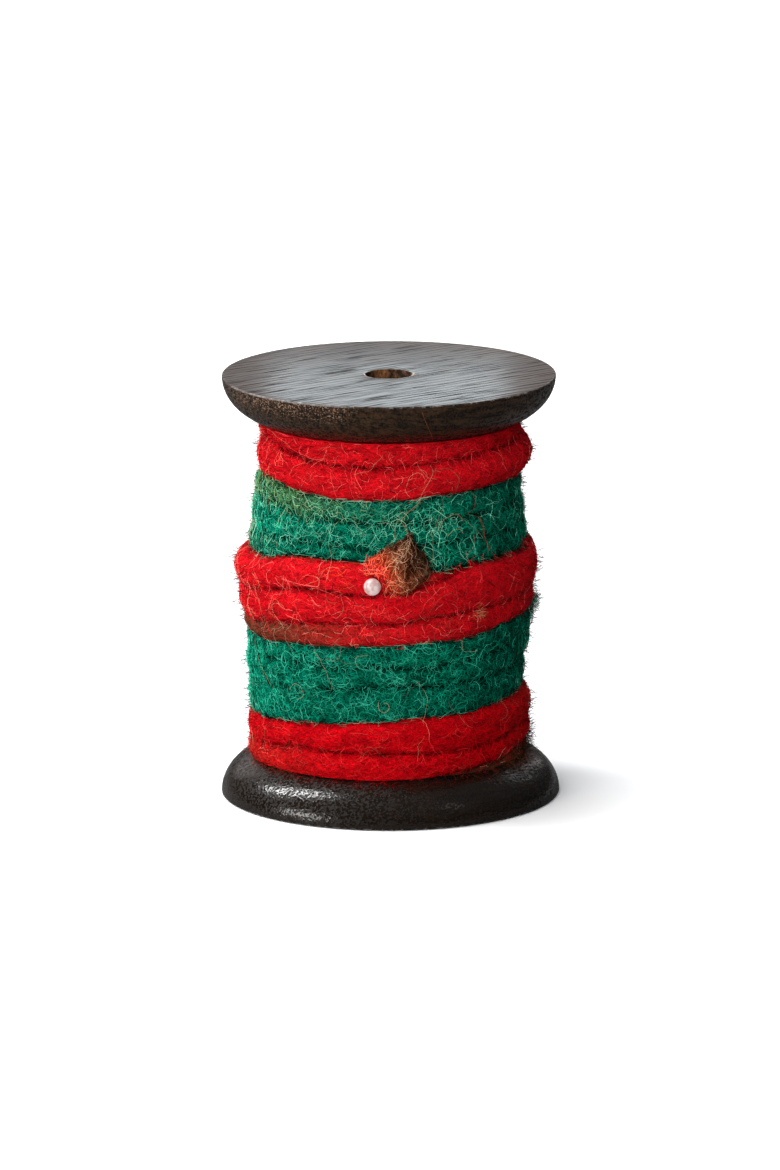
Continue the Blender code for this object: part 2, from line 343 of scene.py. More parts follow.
def remap(tree, value, low, high, to_low=0.0, to_high=1.0):
    """A value read between two ends as a clamped share, smoothly, between two other ends."""
    inputs = {0: value, 1: low, 2: high, 3: to_low, 4: to_high}
    return node(tree, "ShaderNodeMapRange", inputs, interpolation_type="SMOOTHSTEP").outputs[0]


def noise(tree, vector, scale, detail=3.0, roughness=0.55):
    inputs = {"Vector": vector, "Scale": scale, "Detail": detail, "Roughness": roughness}
    return node(tree, "ShaderNodeTexNoise", inputs).outputs["Fac"]


def mixed(tree, factor, first, second):
    """A number between two others."""
    return node(tree, "ShaderNodeMix", {0: factor, 2: first, 3: second}, data_type="FLOAT").outputs[0]


def new_group(name, inputs, outputs):
    """A shader node group with named sockets, each (name, kind of socket)."""
    tree = bpy.data.node_groups.new(name, "ShaderNodeTree")
    for label, kind in inputs:
        tree.interface.new_socket(label, in_out="INPUT", socket_type="NodeSocket" + kind)
    for label, kind in outputs:
        tree.interface.new_socket(label, in_out="OUTPUT", socket_type="NodeSocket" + kind)
    return tree, tree.nodes.new("NodeGroupInput").outputs, tree.nodes.new("NodeGroupOutput").inputs


def use_group(tree, group, inputs):
    return node(tree, "ShaderNodeGroup", inputs, node_tree=group).outputs


def bump(tree, strength, distance, height):
    inputs = {"Strength": strength, "Distance": distance, "Height": height}
    return node(tree, "ShaderNodeBump", inputs).outputs[0]


def object_places(tree):
    return tree.nodes.new("ShaderNodeTexCoord").outputs["Object"]


def attribute(tree, name):
    return node(tree, "ShaderNodeAttribute", attribute_name=name).outputs["Fac"]


# Groups

# The grain's heading, and how its bands, loose lines, saw lines and pores are stretched along it
GRAIN_TURN = math.radians(38.0)
GRAIN_WAYS = ((0.05, 1.0, 2.2), (0.03, 1.0, 1.2), (0.22, 1.0, 1.2), (0.05, 1.0, 1.6))
SAW_MARKS = {"Scale": 150.0, "Distortion": 4.0, "Detail": 2.0, "Detail Scale": 1.3}
PORE_COLOUR = (0.004, 0.003, 0.002)
TANGLE_STRETCH = (1.0, 1.0, 1.7)
TANGLE_SHIFTS = (0.0, 0.31, 0.77)
BORE_WALL = (BORE_RADIUS + 0.05 * MM, BORE_RADIUS + 0.15 * MM)
BORE_RING = (BORE_RADIUS + 0.40 * MM, BORE_RADIUS + 0.62 * MM)
EDGE_WAVE = 0.8 * MM


def ribbon_ramp(tree, place, column):
    """One of the two colours of the DYES table, read along the ribbon."""
    ramp = node(tree, "ShaderNodeValToRGB", {0: place})
    elements = ramp.color_ramp.elements
    for row in DYES[1:-1]:
        elements.new(row[0] / LENGTH_ROUND)
    for element, row in zip(elements, DYES):
        element.position = row[0] / LENGTH_ROUND
        element.color = (*row[column], 1.0)
    return ramp.outputs["Color"]


def dye_group():
    """The ribbon's colour from its place along it (0 to 1) and a tone, from dark (0) to very pale (1.5)."""
    tree, given, out = new_group("ribbon dye", (("Dye", "Float"), ("Tone", "Float")), (("Color", "Color"),))
    base, hair = (ribbon_ramp(tree, given["Dye"], column) for column in (1, 2))
    darkness = remap(tree, given["Tone"], 0.0, 1.0, 0.04, 1.6)
    scaled = {0: base, "Scale": darkness}
    dark = node(tree, "ShaderNodeVectorMath", scaled, operation="SCALE").outputs[0]
    paleness = remap(tree, given["Tone"], 0.92, 1.5, 0.0, 1.0)
    feed(tree, out, {"Color": mix_colour(tree, paleness, dark, hair, blend="ADD")})
    return tree


def tangle_group():
    """Fine curly fibres, as the contour lines of three noises, longer along the ribbon than across."""
    tree, given, out = new_group(
        "wool tangle",
        (("Vector", "Vector"), ("Scale", "Float"), ("Line", "Float")),
        (("Lines", "Float"), ("Clumps", "Float")),
    )
    stretched = stretch(tree, given["Vector"], TANGLE_STRETCH)
    lines = 0.0
    for shift in TANGLE_SHIFTS:
        shifted = {0: stretched, 1: (shift, shift, shift)}
        moved = node(tree, "ShaderNodeVectorMath", shifted, operation="ADD").outputs[0]
        distance = apart(tree, noise(tree, moved, given["Scale"], 1.0, 0.5), 0.5)
        line = remap(tree, divided(tree, distance, given["Line"]), 0.2, 1.0, 1.0, 0.0)
        lines = larger(tree, line, lines)
    clumps = noise(tree, stretched, times(tree, given["Scale"], 0.3), 2.0, 0.6)
    feed(tree, out, {"Lines": lines, "Clumps": remap(tree, clumps, 0.35, 0.65)})
    return tree


def wood_group():
    """Long grain across a board, in 3-D: streaks on its face, lines on its sides, dots on its ends."""
    tree, given, out = new_group(
        "wood grain",
        (
            ("Vector", "Vector"),
            ("Dark", "Color"),
            ("Light", "Color"),
            ("Contrast", "Float"),
            ("Face", "Float"),
        ),
        (("Color", "Color"), ("Pores", "Float"), ("Grooves", "Float"), ("Height", "Float")),
    )
    turn = {"Vector": given["Vector"], "Rotation": (0.0, 0.0, -GRAIN_TURN)}
    turned = node(tree, "ShaderNodeMapping", turn).outputs[0]
    broad, fine, sawn_way, dots = (stretch(tree, turned, way) for way in GRAIN_WAYS)
    bands = noise(tree, broad, 140.0, 2.0, 0.5)
    loose_lines = noise(tree, fine, 900.0, 1.0, 0.5)
    saw_marks = {"Vector": sawn_way, **SAW_MARKS}
    saw_lines = node(tree, "ShaderNodeTexWave", saw_marks, bands_direction="Y").outputs["Fac"]
    narrow = math_node(tree, "POWER", saw_lines, 0.55)
    lines = mixed(tree, times(tree, given["Face"], 0.58), loose_lines, narrow)
    grooves = remap(tree, lines, 0.36, 0.50, 1.0, 0.0)
    pores = remap(tree, noise(tree, dots, 1500.0, 1.0, 0.5), 0.56, 0.66)
    blotches = noise(tree, given["Vector"], 60.0, 3.0, 0.5)
    streak = mixed(tree, 0.93, bands, lines)
    light_share = times(tree, remap(tree, streak, 0.42, 0.60), given["Contrast"])
    patchy = times(tree, light_share, remap(tree, blotches, 0.35, 0.65, 0.35, 1.0))
    colour = mix_colour(tree, patchy, given["Dark"], given["Light"])
    dark_pores = times(tree, larger(tree, pores, grooves), 0.8)
    cut = plus(tree, times(tree, pores, 0.05), times(tree, grooves, 0.2))
    results = {
        "Color": mix_colour(tree, dark_pores, colour, PORE_COLOUR),
        "Pores": pores,
        "Grooves": grooves,
        "Height": minus(tree, streak, cut),
    }
    feed(tree, out, results)
    return tree


def ring_group():
    """Masks round the spool's axis: the bore's wall and rim, and a disc's rim, side and left front."""
    tree, given, out = new_group(
        "turned edges",
        (("Vector", "Vector"), ("Rim Radius", "Float"), ("Rim Height", "Float"), ("Rim Width", "Float")),
        tuple((name, "Float") for name in ("Bore", "Bore Rim", "Rim", "Side", "Left Front", "Under Rim")),
    )
    parts = node(tree, "ShaderNodeSeparateXYZ", {0: given["Vector"]}).outputs
    flat = node(tree, "ShaderNodeCombineXYZ", {0: parts["X"], 1: parts["Y"]}).outputs[0]
    radius = node(tree, "ShaderNodeVectorMath", {0: flat}, operation="LENGTH").outputs["Value"]
    rough = times(tree, minus(tree, noise(tree, given["Vector"], 900.0), 0.5), EDGE_WAVE)
    waved = plus(tree, radius, rough)
    ring = remap(tree, waved, *BORE_RING, 1.0, 0.0)
    from_rim = apart(tree, waved, given["Rim Radius"])
    from_face = apart(tree, parts["Z"], given["Rim Height"])
    rim_share = divided(tree, larger(tree, from_rim, from_face), given["Rim Width"])
    # Left Front and Under Rim place the painted highlight and painted glints on the head's rim and side
    left = remap(tree, parts["X"], -14.0 * MM, -6.0 * MM, 1.0, 0.0)
    front = remap(tree, parts["Y"], -17.0 * MM, -9.0 * MM, 1.0, 0.0)
    results = {
        "Bore": remap(tree, radius, *BORE_WALL, 1.0, 0.0),
        # Kept to the near side, where the bore's cream edge is partly raw wood and partly a painted highlight
        "Bore Rim": times(tree, ring, remap(tree, parts["Y"], -2.0 * MM, 2.0 * MM, 1.0, 0.1)),
        "Rim": remap(tree, rim_share, 0.5, 1.0, 1.0, 0.0),
        "Side": remap(tree, from_face, 0.1 * MM, 0.5 * MM),
        "Left Front": times(tree, left, front),
        "Under Rim": remap(tree, from_face, 1.0 * MM, 6.5 * MM, 1.0, 0.0),
    }
    feed(tree, out, results)
    return tree


DYE = dye_group()
TANGLE = tangle_group()
WOOD = wood_group()
TURNED_EDGES = ring_group()


# Materials

# A stained disc's rim, the strength of the painted highlight and glints at its left front, its gloss, the
# depth of its pits, its colours and its relief
Stain = namedtuple("Stain", "rim_radius rim_height wear specular gloss_rough pit_depth dark streaks relief")
HEAD_STAIN = Stain(
    rim_radius=TOP_DISC_RADIUS,
    rim_height=SPOOL_HEIGHT,
    wear=1.0,
    specular=0.24,
    gloss_rough=0.30,
    pit_depth=0.9,
    dark=(0.0090, 0.0050, 0.0028),
    streaks=(0.060, 0.030, 0.014),
    relief=0.05 * MM,
)
FOOT_STAIN = Stain(
    rim_radius=BOTTOM_DISC_RADIUS,
    rim_height=0.0,
    wear=0.0,
    specular=0.54,
    gloss_rough=0.085,
    pit_depth=1.7,
    dark=(0.0035, 0.0020, 0.0012),
    streaks=(0.013, 0.0065, 0.0032),
    relief=0.04 * MM,
)
# The rim's mark is partly wear and partly a painted highlight at the left front; the glints under it are
# painted
RIM_WEAR_AND_LIGHT_WIDTH = 0.45 * MM
RIM_WEAR_AND_LIGHT_COLOUR = (0.32, 0.29, 0.28)
PAINTED_GLINT_COLOUR = (0.30, 0.20, 0.145)
BORE_COLOURS = ((0.012, 0.006, 0.004), (0.20, 0.085, 0.034))
BORE_RIM_COLOUR = (0.50, 0.40, 0.28)
RAW_DARK = (0.07, 0.032, 0.016, 1.0)
RAW_LIGHT = (0.34, 0.17, 0.08, 1.0)
PEARL_COLOURS = ((0.212, 0.136, 0.126), (0.300, 0.236, 0.230))
STEEL_COLOURS = ((0.50, 0.50, 0.49), (0.72, 0.72, 0.70))


def stained_wood(name, stain):
    """Dark stained and waxed wood with open pores, worn on its rim and raw in the bore, with a painted
    highlight and painted glints at the head rim's left front and a cream near edge to the bore that is partly
    a painted highlight.
    """
    made, tree, shader = new_material(name, specular_ior_level=stain.specular)
    places = object_places(tree)
    rim = {"Rim Radius": stain.rim_radius, "Rim Height": stain.rim_height, "Rim Width": RIM_WEAR_AND_LIGHT_WIDTH}
    edges = use_group(tree, TURNED_EDGES, {"Vector": places, **rim})
    side = edges["Side"]
    colours = {"Dark": (*stain.dark, 1.0), "Light": (*stain.streaks, 1.0)}
    board = {"Vector": places, **colours, "Contrast": 0.5, "Face": minus(tree, 1.0, side)}
    grain = use_group(tree, WOOD, board)
    pits = noise(tree, places, 1600.0, 1.0, 0.5)
    fine_pits = noise(tree, places, 2600.0, 1.0, 0.5)
    # Painted highlight: how strongly the left front of the rim and the side under it are lit in colour
    left_front = times(tree, edges["Left Front"], stain.wear)
    lit_edge = times(tree, left_front, times(tree, edges["Under Rim"], side))
    specks = times(tree, remap(tree, fine_pits, 0.50, 0.62), side)
    # The side's grain specks show more where the painted highlight lies
    speck_share = times(tree, specks, remap(tree, lit_edge, 0.0, 1.0, 0.35, 0.85))
    speckled = mix_colour(tree, speck_share, grain["Color"], stain.streaks)
    # Painted glints on the side under the rim's left front
    painted_glints = times(tree, remap(tree, fine_pits, 0.58, 0.64), lit_edge)
    with_painted_glints = mix_colour(tree, times(tree, painted_glints, 0.60), speckled, PAINTED_GLINT_COLOUR)
    wear_spots = remap(tree, noise(tree, places, 900.0, 3.0, 0.7), 0.50, 0.62, 0.0, 0.30)
    # The rim's mark: wear spots all round and a painted highlight at the left front
    wear = plus(tree, wear_spots, times(tree, left_front, 0.24))
    rim_worn_and_lit = mix_colour(tree, times(tree, edges["Rim"], wear), with_painted_glints, RIM_WEAR_AND_LIGHT_COLOUR)
    upright = node(tree, "ShaderNodeMapping", {"Vector": places, "Scale": (1.0, 1.0, 0.6)}).outputs[0]
    bore_spots = remap(tree, noise(tree, upright, 520.0, 4.0, 0.7), 0.42, 0.68)
    # The bore's cream near edge: raw wood and a painted highlight
    with_rim = mix_colour(tree, times(tree, edges["Bore Rim"], 0.85), rim_worn_and_lit, BORE_RIM_COLOUR)
    satin = remap(tree, grain["Grooves"], 0.0, 1.0, stain.gloss_rough, stain.gloss_rough + 0.10)
    dull_pits = times(tree, remap(tree, pits, 0.42, 0.48, 0.60, 0.0), side)
    dull_holes = larger(tree, times(tree, grain["Pores"], 0.40), dull_pits)
    dull = larger(tree, dull_holes, times(tree, edges["Bore"], 0.6))
    pitted = times(tree, times(tree, pits, stain.pit_depth), side)
    looks = {
        "Base Color": mix_colour(tree, edges["Bore"], with_rim, mix_colour(tree, bore_spots, *BORE_COLOURS)),
        "Roughness": plus(tree, satin, dull, clamp=True),
        "Normal": bump(tree, 1.0, stain.relief, plus(tree, grain["Height"], pitted)),
    }
    feed(tree, shader.inputs, looks)
    return made


def raw_wood():
    """Bare wood, for the barrel."""
    made, tree, shader = new_material("raw wood", specular_ior_level=0.3)
    board = {"Dark": RAW_DARK, "Light": RAW_LIGHT, "Contrast": 1.0, "Face": 0.0}
    grain = use_group(tree, WOOD, {"Vector": object_places(tree), **board})
    rough = remap(tree, grain["Pores"], 0.0, 1.0, 0.7, 0.9)
    relief = bump(tree, 0.5, 0.1 * MM, grain["Height"])
    feed(tree, shader.inputs, {"Base Color": grain["Color"], "Roughness": rough, "Normal": relief})
    return made


def packed_wool():
    """The winding's packed surface under its loose fibres, kept dark between its fibre lines as painted
    shade.
    """
    made, tree, shader = new_material("packed wool", specular_ior_level=0.02)
    tangle = use_group(tree, TANGLE, {"Vector": object_places(tree), "Scale": 1100.0, "Line": 0.045})
    # Painted shade: the ground between the drawn fibre lines stays dark, for the gaps between fibres, and the
    # shade attribute darkens it more
    lit = plus(tree, times(tree, tangle["Clumps"], 0.10), times(tree, tangle["Lines"], 0.36))
    tone = minus(tree, lit, attribute(tree, "shade"), clamp=True)
    colour = use_group(tree, DYE, {"Dye": attribute(tree, "dye"), "Tone": tone})["Color"]
    rough = remap(tree, tangle["Lines"], 0.0, 1.0, 1.0, 0.85)
    relief = bump(tree, 0.8, 0.2 * MM, tangle["Lines"])
    feed(tree, shader.inputs, {"Base Color": colour, "Roughness": rough, "Normal": relief})
    return made


def wool_fibre():
    """Single fibres, each with its own dye and tone."""
    made, tree, shader = new_material("wool fibre", specular_ior_level=0.06)
    kinks = noise(tree, object_places(tree), 2600.0, 2.0, 0.6)
    spread = times(tree, minus(tree, kinks, 0.5), 0.36)
    tone = plus(tree, attribute(tree, "tone"), spread)
    colour = use_group(tree, DYE, {"Dye": attribute(tree, "dye"), "Tone": tone})["Color"]
    rough = remap(tree, kinks, 0.3, 0.7, 0.62, 0.8)
    feed(tree, shader.inputs, {"Base Color": colour, "Roughness": rough})
    return made


def pearl():
    """The pin's head, with a soft cloud in its colour, and a painted glow: a light of its own that evens out
    its shading.
    """
    # Painted glow: the pearl gives light in its own colours
    made, tree, shader = new_material(
        "pearl", specular_ior_level=0.4, coat_weight=0.3, coat_roughness=0.12, emission_strength=1.45
    )
    cloud = noise(tree, object_places(tree), 760.0, 2.0, 0.5)
    colour = mix_colour(tree, remap(tree, cloud, 0.42, 0.58), *PEARL_COLOURS)
    looks = {
        "Base Color": colour,
        "Emission Color": colour,
        "Roughness": remap(tree, cloud, 0.3, 0.7, 0.32, 0.22),
        "Normal": bump(tree, 0.35, 0.05 * MM, cloud),
    }
    feed(tree, shader.inputs, looks)
    return made


def pin_steel():
    made, tree, shader = new_material("pin steel", metallic=1.0)
    lines = noise(tree, object_places(tree), 4000.0, 2.0, 0.6)
    rough = remap(tree, lines, 0.3, 0.7, 0.22, 0.38)
    feed(tree, shader.inputs, {"Base Color": mix_colour(tree, lines, *STEEL_COLOURS), "Roughness": rough})
    return made


# Meshes

DISC_SMOOTH_ANGLE = math.radians(40.0)
WOOL_SMOOTH_ANGLE = math.radians(60.0)


def set_material(piece, material):
    piece.data.materials.clear()
    piece.data.materials.append(material)


def finish_piece(made, material, slot, *replaced):
    """Gives a piece its material, lets it ride, and hides the CAD nodes that it stands for; its slot is not
    used.
    """
    set_material(made, material)
    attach(made, BODY)
    if replaced:
        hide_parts(*replaced)
    return made


def deselect_all():
    if bpy.context.object and bpy.context.object.mode != "OBJECT":
        bpy.ops.object.mode_set(mode="OBJECT")
    bpy.ops.object.select_all(action="DESELECT")


def bridge_open_edges():
    """Closes the active piece between its two open edges, turns its faces outwards and smooths it."""
    bpy.ops.object.mode_set(mode="EDIT")
    bpy.ops.mesh.select_mode(type="EDGE")
    bpy.ops.mesh.select_all(action="DESELECT")
    bpy.ops.mesh.select_non_manifold(extend=False)
    bpy.ops.mesh.bridge_edge_loops()
    bpy.ops.mesh.select_all(action="SELECT")
    bpy.ops.mesh.normals_make_consistent(inside=False)
    bpy.ops.object.mode_set(mode="OBJECT")
    bpy.ops.object.shade_smooth_by_angle(angle=WOOL_SMOOTH_ANGLE)


def shoulder_height(radius, disc_radius):
    """How far a disc's curved inner face stands above its outer face, at a radius."""
    inner = SHOULDER_SHARE * disc_radius
    reach = np.clip((radius - inner) / (disc_radius - inner), 0.0, 1.0)
    rise = (1 - reach**SHOULDER_POWER) ** (1 / SHOULDER_POWER)
    return RIM_FILLET + (DISC_THICKNESS - RIM_FILLET) * rise


def disc_section(disc_radius):
    """(radius, height) points round a disc's section, with its outer face at height 0."""
    points = [
        (BORE_RADIUS, BORE_CHAMFER),
        (BORE_RADIUS + 0.15 * BORE_CHAMFER, 0.3 * BORE_CHAMFER),
        (BORE_RADIUS + BORE_CHAMFER, 0.0),
    ]
    face_edge = disc_radius - RIM_FILLET
    points += [(BORE_RADIUS + (face_edge - BORE_RADIUS) * share, 0.0) for share in (0.15, 0.4, 0.7, 0.9)]
    for turn in np.linspace(0.0, 0.5 * np.pi, 7):
        points.append((face_edge + RIM_FILLET * math.sin(turn), RIM_FILLET * (1 - math.cos(turn))))
    inner = SHOULDER_SHARE * disc_radius
    for turn in np.linspace(0.0, 0.5 * np.pi, 25)[1:-1]:
        radius = inner + (disc_radius - inner) * math.cos(turn) ** (2 / SHOULDER_POWER)
        points.append((radius, shoulder_height(radius, disc_radius)))
    points += [(inner, DISC_THICKNESS), (0.5 * (inner + BORE_RADIUS), DISC_THICKNESS)]
    points.append((BORE_RADIUS, DISC_THICKNESS))
    return points


def make_disc(name, disc_radius, flipped, material):
    """A disc turned from its section: a flat outline is shaped, then spun round the spool's axis."""
    section = disc_section(disc_radius)
    if flipped:
        section = [(radius, SPOOL_HEIGHT - height) for radius, height in section]
    deselect_all()
    bpy.ops.mesh.primitive_circle_add(vertices=len(section), radius=disc_radius, fill_type="NOTHING")
    made = bpy.context.object
    made.name = made.data.name = "turned_" + name
    for vertex, (radius, height) in zip(made.data.vertices, section):
        vertex.co = (radius, 0.0, height)
    bpy.ops.object.mode_set(mode="EDIT")
    bpy.ops.mesh.select_all(action="SELECT")
    bpy.ops.mesh.spin(steps=DISC_STEPS, angle=2 * math.pi, center=(0, 0, 0), axis=(0, 0, 1))
    bpy.ops.mesh.select_all(action="SELECT")
    bpy.ops.mesh.remove_doubles(threshold=MERGE_DISTANCE)
    bpy.ops.mesh.normals_make_consistent(inside=False)
    bpy.ops.object.mode_set(mode="OBJECT")
    bpy.ops.object.shade_smooth_by_angle(angle=DISC_SMOOTH_ANGLE)
    finish_piece(made, material, "stained_wood", name)


def make_spool():
    foot = stained_wood("stained wood foot", FOOT_STAIN)
    head = stained_wood("stained wood head", HEAD_STAIN)
    make_disc("flange_bottom", BOTTOM_DISC_RADIUS, False, foot)
    make_disc("flange_top", TOP_DISC_RADIUS, True, head)
    set_material(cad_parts["barrel"], raw_wood())


def make_pin():
    for name, material in (("pin_head", pearl()), ("pin_shank", pin_steel())):
        set_material(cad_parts[name], material)


def winding_places(azimuth, row, last_row):
    """Radius and height on the winding's section, row by row, from the barrel's foot to its head."""
    inner = BARREL_RADIUS / MM + CLEARANCE
    ends = []
    discs = ((BOTTOM_DISC_RADIUS, END_DEPTH), (TOP_DISC_RADIUS, SPOOL_HEIGHT / MM - END_DEPTH))
    for disc_radius, height in discs:
        edge = radius_at(azimuth, np.full_like(azimuth, height))
        flat = SHOULDER_SHARE * disc_radius / MM
        step = np.where(height < MIDDLE_HEIGHT, row - 1, last_row - 1 - row)
        share = np.clip(step / (WINDING_FOOT_ROWS - 1), 0.0, 1.0)
        radius = np.where(step < 0, inner, flat + (edge - flat) * share)
        rise = shoulder_height(radius * MM, disc_radius) / MM + CLEARANCE
        end_rise = shoulder_height(edge * MM, disc_radius) / MM + CLEARANCE
        ends.append((radius, rise, end_rise))
    (low_radius, low_rise, low), (high_radius, high_rise, high_gap) = ends
    high = SPOOL_HEIGHT / MM - high_gap
    share = (row - WINDING_FOOT_ROWS) / (last_row - 2 * WINDING_FOOT_ROWS)
    height = low + (high - low) * np.clip(share, 0.0, 1.0)
    radius = radius_at(azimuth, height)
    fade = np.clip(4.0 * np.minimum(share, 1.0 - share) / RELIEF_FADE, 0.0, 1.0)
    radius += RELIEF * fade * (STREAKS(azimuth, height) + LUMPS(azimuth, height))
    foot, head = row < WINDING_FOOT_ROWS, row > last_row - WINDING_FOOT_ROWS
    radius = np.where(foot, low_radius, np.where(head, high_radius, radius))
    height = np.where(foot, low_rise, np.where(head, SPOOL_HEIGHT / MM - high_rise, height))
    return radius, height


def is_calm(along):
    """1 on the turns of the combed red bands, and 0 on the tangled green ones."""
    calm_bands = [(start, end) for name, start, end, layers in BANDS if layers is CALM]
    return sum(((along >= start) & (along < end)) * 1.0 for start, end in calm_bands)


def set_attribute(mesh, name, values):
    made = mesh.attributes.new(name, "FLOAT", "POINT")
    made.data.foreach_set("value", np.asarray(values, dtype=np.float32))


def select_upright_edges(mesh):
    """Selects the edges whose two ends are at different heights."""
    for edge in mesh.edges:
        low, high = (mesh.vertices[i].co.z for i in edge.vertices)
        edge.select = abs(high - low) > MERGE_DISTANCE


def make_winding(material):
    """A tube of many rows, drawn in at its ends to the barrel, with its surface on the turns' table."""
    deselect_all()
    bpy.ops.mesh.primitive_cylinder_add(
        vertices=WINDING_COLUMNS, radius=START_RADIUS, depth=1.0, end_fill_type="NOTHING"
    )
    made = bpy.context.object
    made.name = made.data.name = "fleece_winding"
    for cuts in WINDING_CUTS:
        bpy.ops.object.mode_set(mode="EDIT")
        bpy.ops.mesh.select_mode(type="EDGE")
        bpy.ops.mesh.select_all(action="DESELECT")
        bpy.ops.object.mode_set(mode="OBJECT")
        select_upright_edges(made.data)
        bpy.ops.object.mode_set(mode="EDIT")
        bpy.ops.mesh.subdivide(number_cuts=cuts)
        bpy.ops.object.mode_set(mode="OBJECT")
    last_row = (WINDING_CUTS[0] + 1) * (WINDING_CUTS[1] + 1)
    places = np.zeros(len(made.data.vertices) * 3, np.float32)
    made.data.vertices.foreach_get("co", places)
    x, y, z = places.reshape(-1, 3).T.astype(float)
    azimuth = np.degrees(np.arctan2(x, -y))
    row = np.rint((z + 0.5) * last_row).astype(int)
    radius, height = winding_places(azimuth, row, last_row)
    made.data.vertices.foreach_set("co", polar(radius, azimuth, height).astype(np.float32).ravel())
    bridge_open_edges()
    along, share = turn_at(azimuth, height)
    set_attribute(made.data, "dye", ribbon_dye(along) / LENGTH_ROUND)
    # The shade attribute is painted shade: more of it close to the grooves, less of it on the red bands
    set_attribute(made.data, "shade", painted_groove_shade(along, share) - CALM_LIFT * is_calm(along))
    finish_piece(made, material, "fleece", "wound_ribbon")


# Fibres

Kind = namedtuple("Kind", "count points length thick spread curl crimp lift arch tip")
CALM_PILE = Kind(17000, 5, (3.0, 8.0), 0.052, 8.0, 28.0, 9.0, (0.0, 0.22), 0.10, 0.0)
CALM_CURLS = Kind(15000, 6, (2.5, 6.5), 0.042, 27.0, 115.0, 10.0, (0.15, 0.42), 0.25, 0.0)
TANGLED_PILE = Kind(8000, 5, (2.0, 5.5), 0.055, 26.0, 90.0, 18.0, (0.0, 0.15), 0.1, 0.0)
TANGLED_CURLS = Kind(21500, 5, (1.8, 4.8), 0.047, 48.0, 150.0, 24.0, (0.0, 0.45), 0.2, 0.0)
TANGLED_HAIRS = Kind(4600, 8, (3.5, 9.0), 0.040, 42.0, 190.0, 10.0, (0.2, 0.6), 0.3, 0.0)
FUZZ = Kind(8600, 4, (0.5, 1.6), 0.056, 90.0, 120.0, 20.0, (0.0, 0.1), 0.0, 3.0)
STRAY = Kind(190, 12, (5.0, 13.0), 0.030, 60.0, 120.0, 0.0, (0.3, 0.65), 0.5, 0.0)
END_PILE = Kind(2900, 6, (1.5, 4.0), 0.047, 48.0, 90.0, 26.0, (0.0, 0.7), 0.5, 0.0)
END_STRANDS = Kind(110, 12, (3.0, 7.0), 0.040, 60.0, 90.0, 16.0, (0.6, 1.2), 0.3, 0.0)
SHOULDER_HAIRS = Kind(0, 6, (1.5, 5.0), 0.042, 60.0, 200.0, 20.0, (0.15, 0.5), 0.5, 0.0)
TUFT_HAIRS = Kind(0, 6, (1.0, 3.0), 0.045, 90.0, 160.0, 20.0, (0.1, 0.4), 0.2, 3.4)
PILE_SEED = SEED + 10
FUZZ_SEED = SEED + 30
TUFT_SEED = SEED + 40
END_SEED = SEED + 50
STRAY_DYE = 3095.0
STRAY_TONES = (1.0, 1.42)
FUZZ_TONES = (0.0, 0.25)
SIDES = 3
THICK_RANGE = (0.7, 1.25)
TUFT_THICK_RANGE = (0.6, 1.2)
PALE_THICK = 0.80
HEAD_ROOM = 0.25 * MM  # between the fibres and the pin's head
BORDER_REACH = 0.45
SPOT_HEIGHTS = (10.6, 90.0)
FIBRE_HEIGHTS = (10.8, 89.8)
INNER_SHARES = (0.03, 0.97)
PILE_DYE_SPREAD = 26.0
FUZZ_DYE_SPREAD = 30.0
TUFT_DYE_SPREAD = 25.0
CELL_START = (0.08, 0.06)  # a fibre's place in its cell of the bake's UV map
CELL_SPAN = (0.84, 0.88)

# Fewer pale hairs at the spool's right, and on the green bands also at its left; the green bands' fibres are
# darker at the right, which is painted shade
RIGHT_SIDE_AZIMUTHS = (8.0, 52.0)
LEFT_SIDE_AZIMUTHS = (28.0, 60.0)
LEFT_PALE_LOSS_SHARE = 0.75
RIGHT_PAINTED_SHADE = 0.47
SIDE_PALE_LOSS = 0.75
PALE_TONE = 1.0
PALE_REACH = 0.5
PALE_POWER = 1.8
STRAY_LOSS = 0.85
STRAY_LOSS_AZIMUTHS = (5.0, 45.0)

Layer = namedtuple("Layer", "name kind low_tone high_tone pale_share")
CALM = (Layer("pile", CALM_PILE, 0.30, 0.80, 0.0), Layer("curls", CALM_CURLS, 0.54, 0.90, 0.36))
TANGLED = (
    # The green bands' low pile is nearly black: painted shade of the gaps under their curls
    Layer("pile", TANGLED_PILE, 0.0, 0.26, 0.0),
    Layer("curls", TANGLED_CURLS, 0.05, 1.31, 0.10),
    Layer("hairs", TANGLED_HAIRS, 0.55, 1.0, 0.95),
)
BANDS = (
    ("bottom_red", 0.0, 900.0, CALM),
    ("lower_green", 900.0, 2060.0, TANGLED),
    ("middle_red", 2060.0, 3060.0, CALM),
    ("upper_green", 3060.0, 4140.0, TANGLED),
    ("top_red", 4140.0, 5400.0, CALM),
)


def curly_paths(rng, kind, count, middle=0.0):
    """Curly lines in a plane, as (count, points) offsets in mm along and across the ribbon."""
    steps = kind.points - 1
    lean = rng.normal(0.0, kind.spread, count)
    steady = rng.normal(0.0, kind.curl, (count, 1)) / steps * np.arange(steps)
    wobble = np.cumsum(rng.normal(0.0, 0.5 * kind.curl, (count, steps)) / math.sqrt(steps), axis=1)
    zigzag = rng.normal(0.0, kind.crimp, (count, 1)) * (-1.0) ** np.arange(steps)
    heading = middle + lean + 180.0 * rng.integers(0, 2, count)
    angle = np.radians(heading[:, None] + steady + wobble + zigzag)
    reach = rng.uniform(*kind.length, (count, 1)) / steps
    moves = np.stack((np.cos(angle), np.sin(angle)), axis=-1) * reach[..., None]
    return np.concatenate((np.zeros((count, 1, 2)), np.cumsum(moves, axis=1)), axis=1)


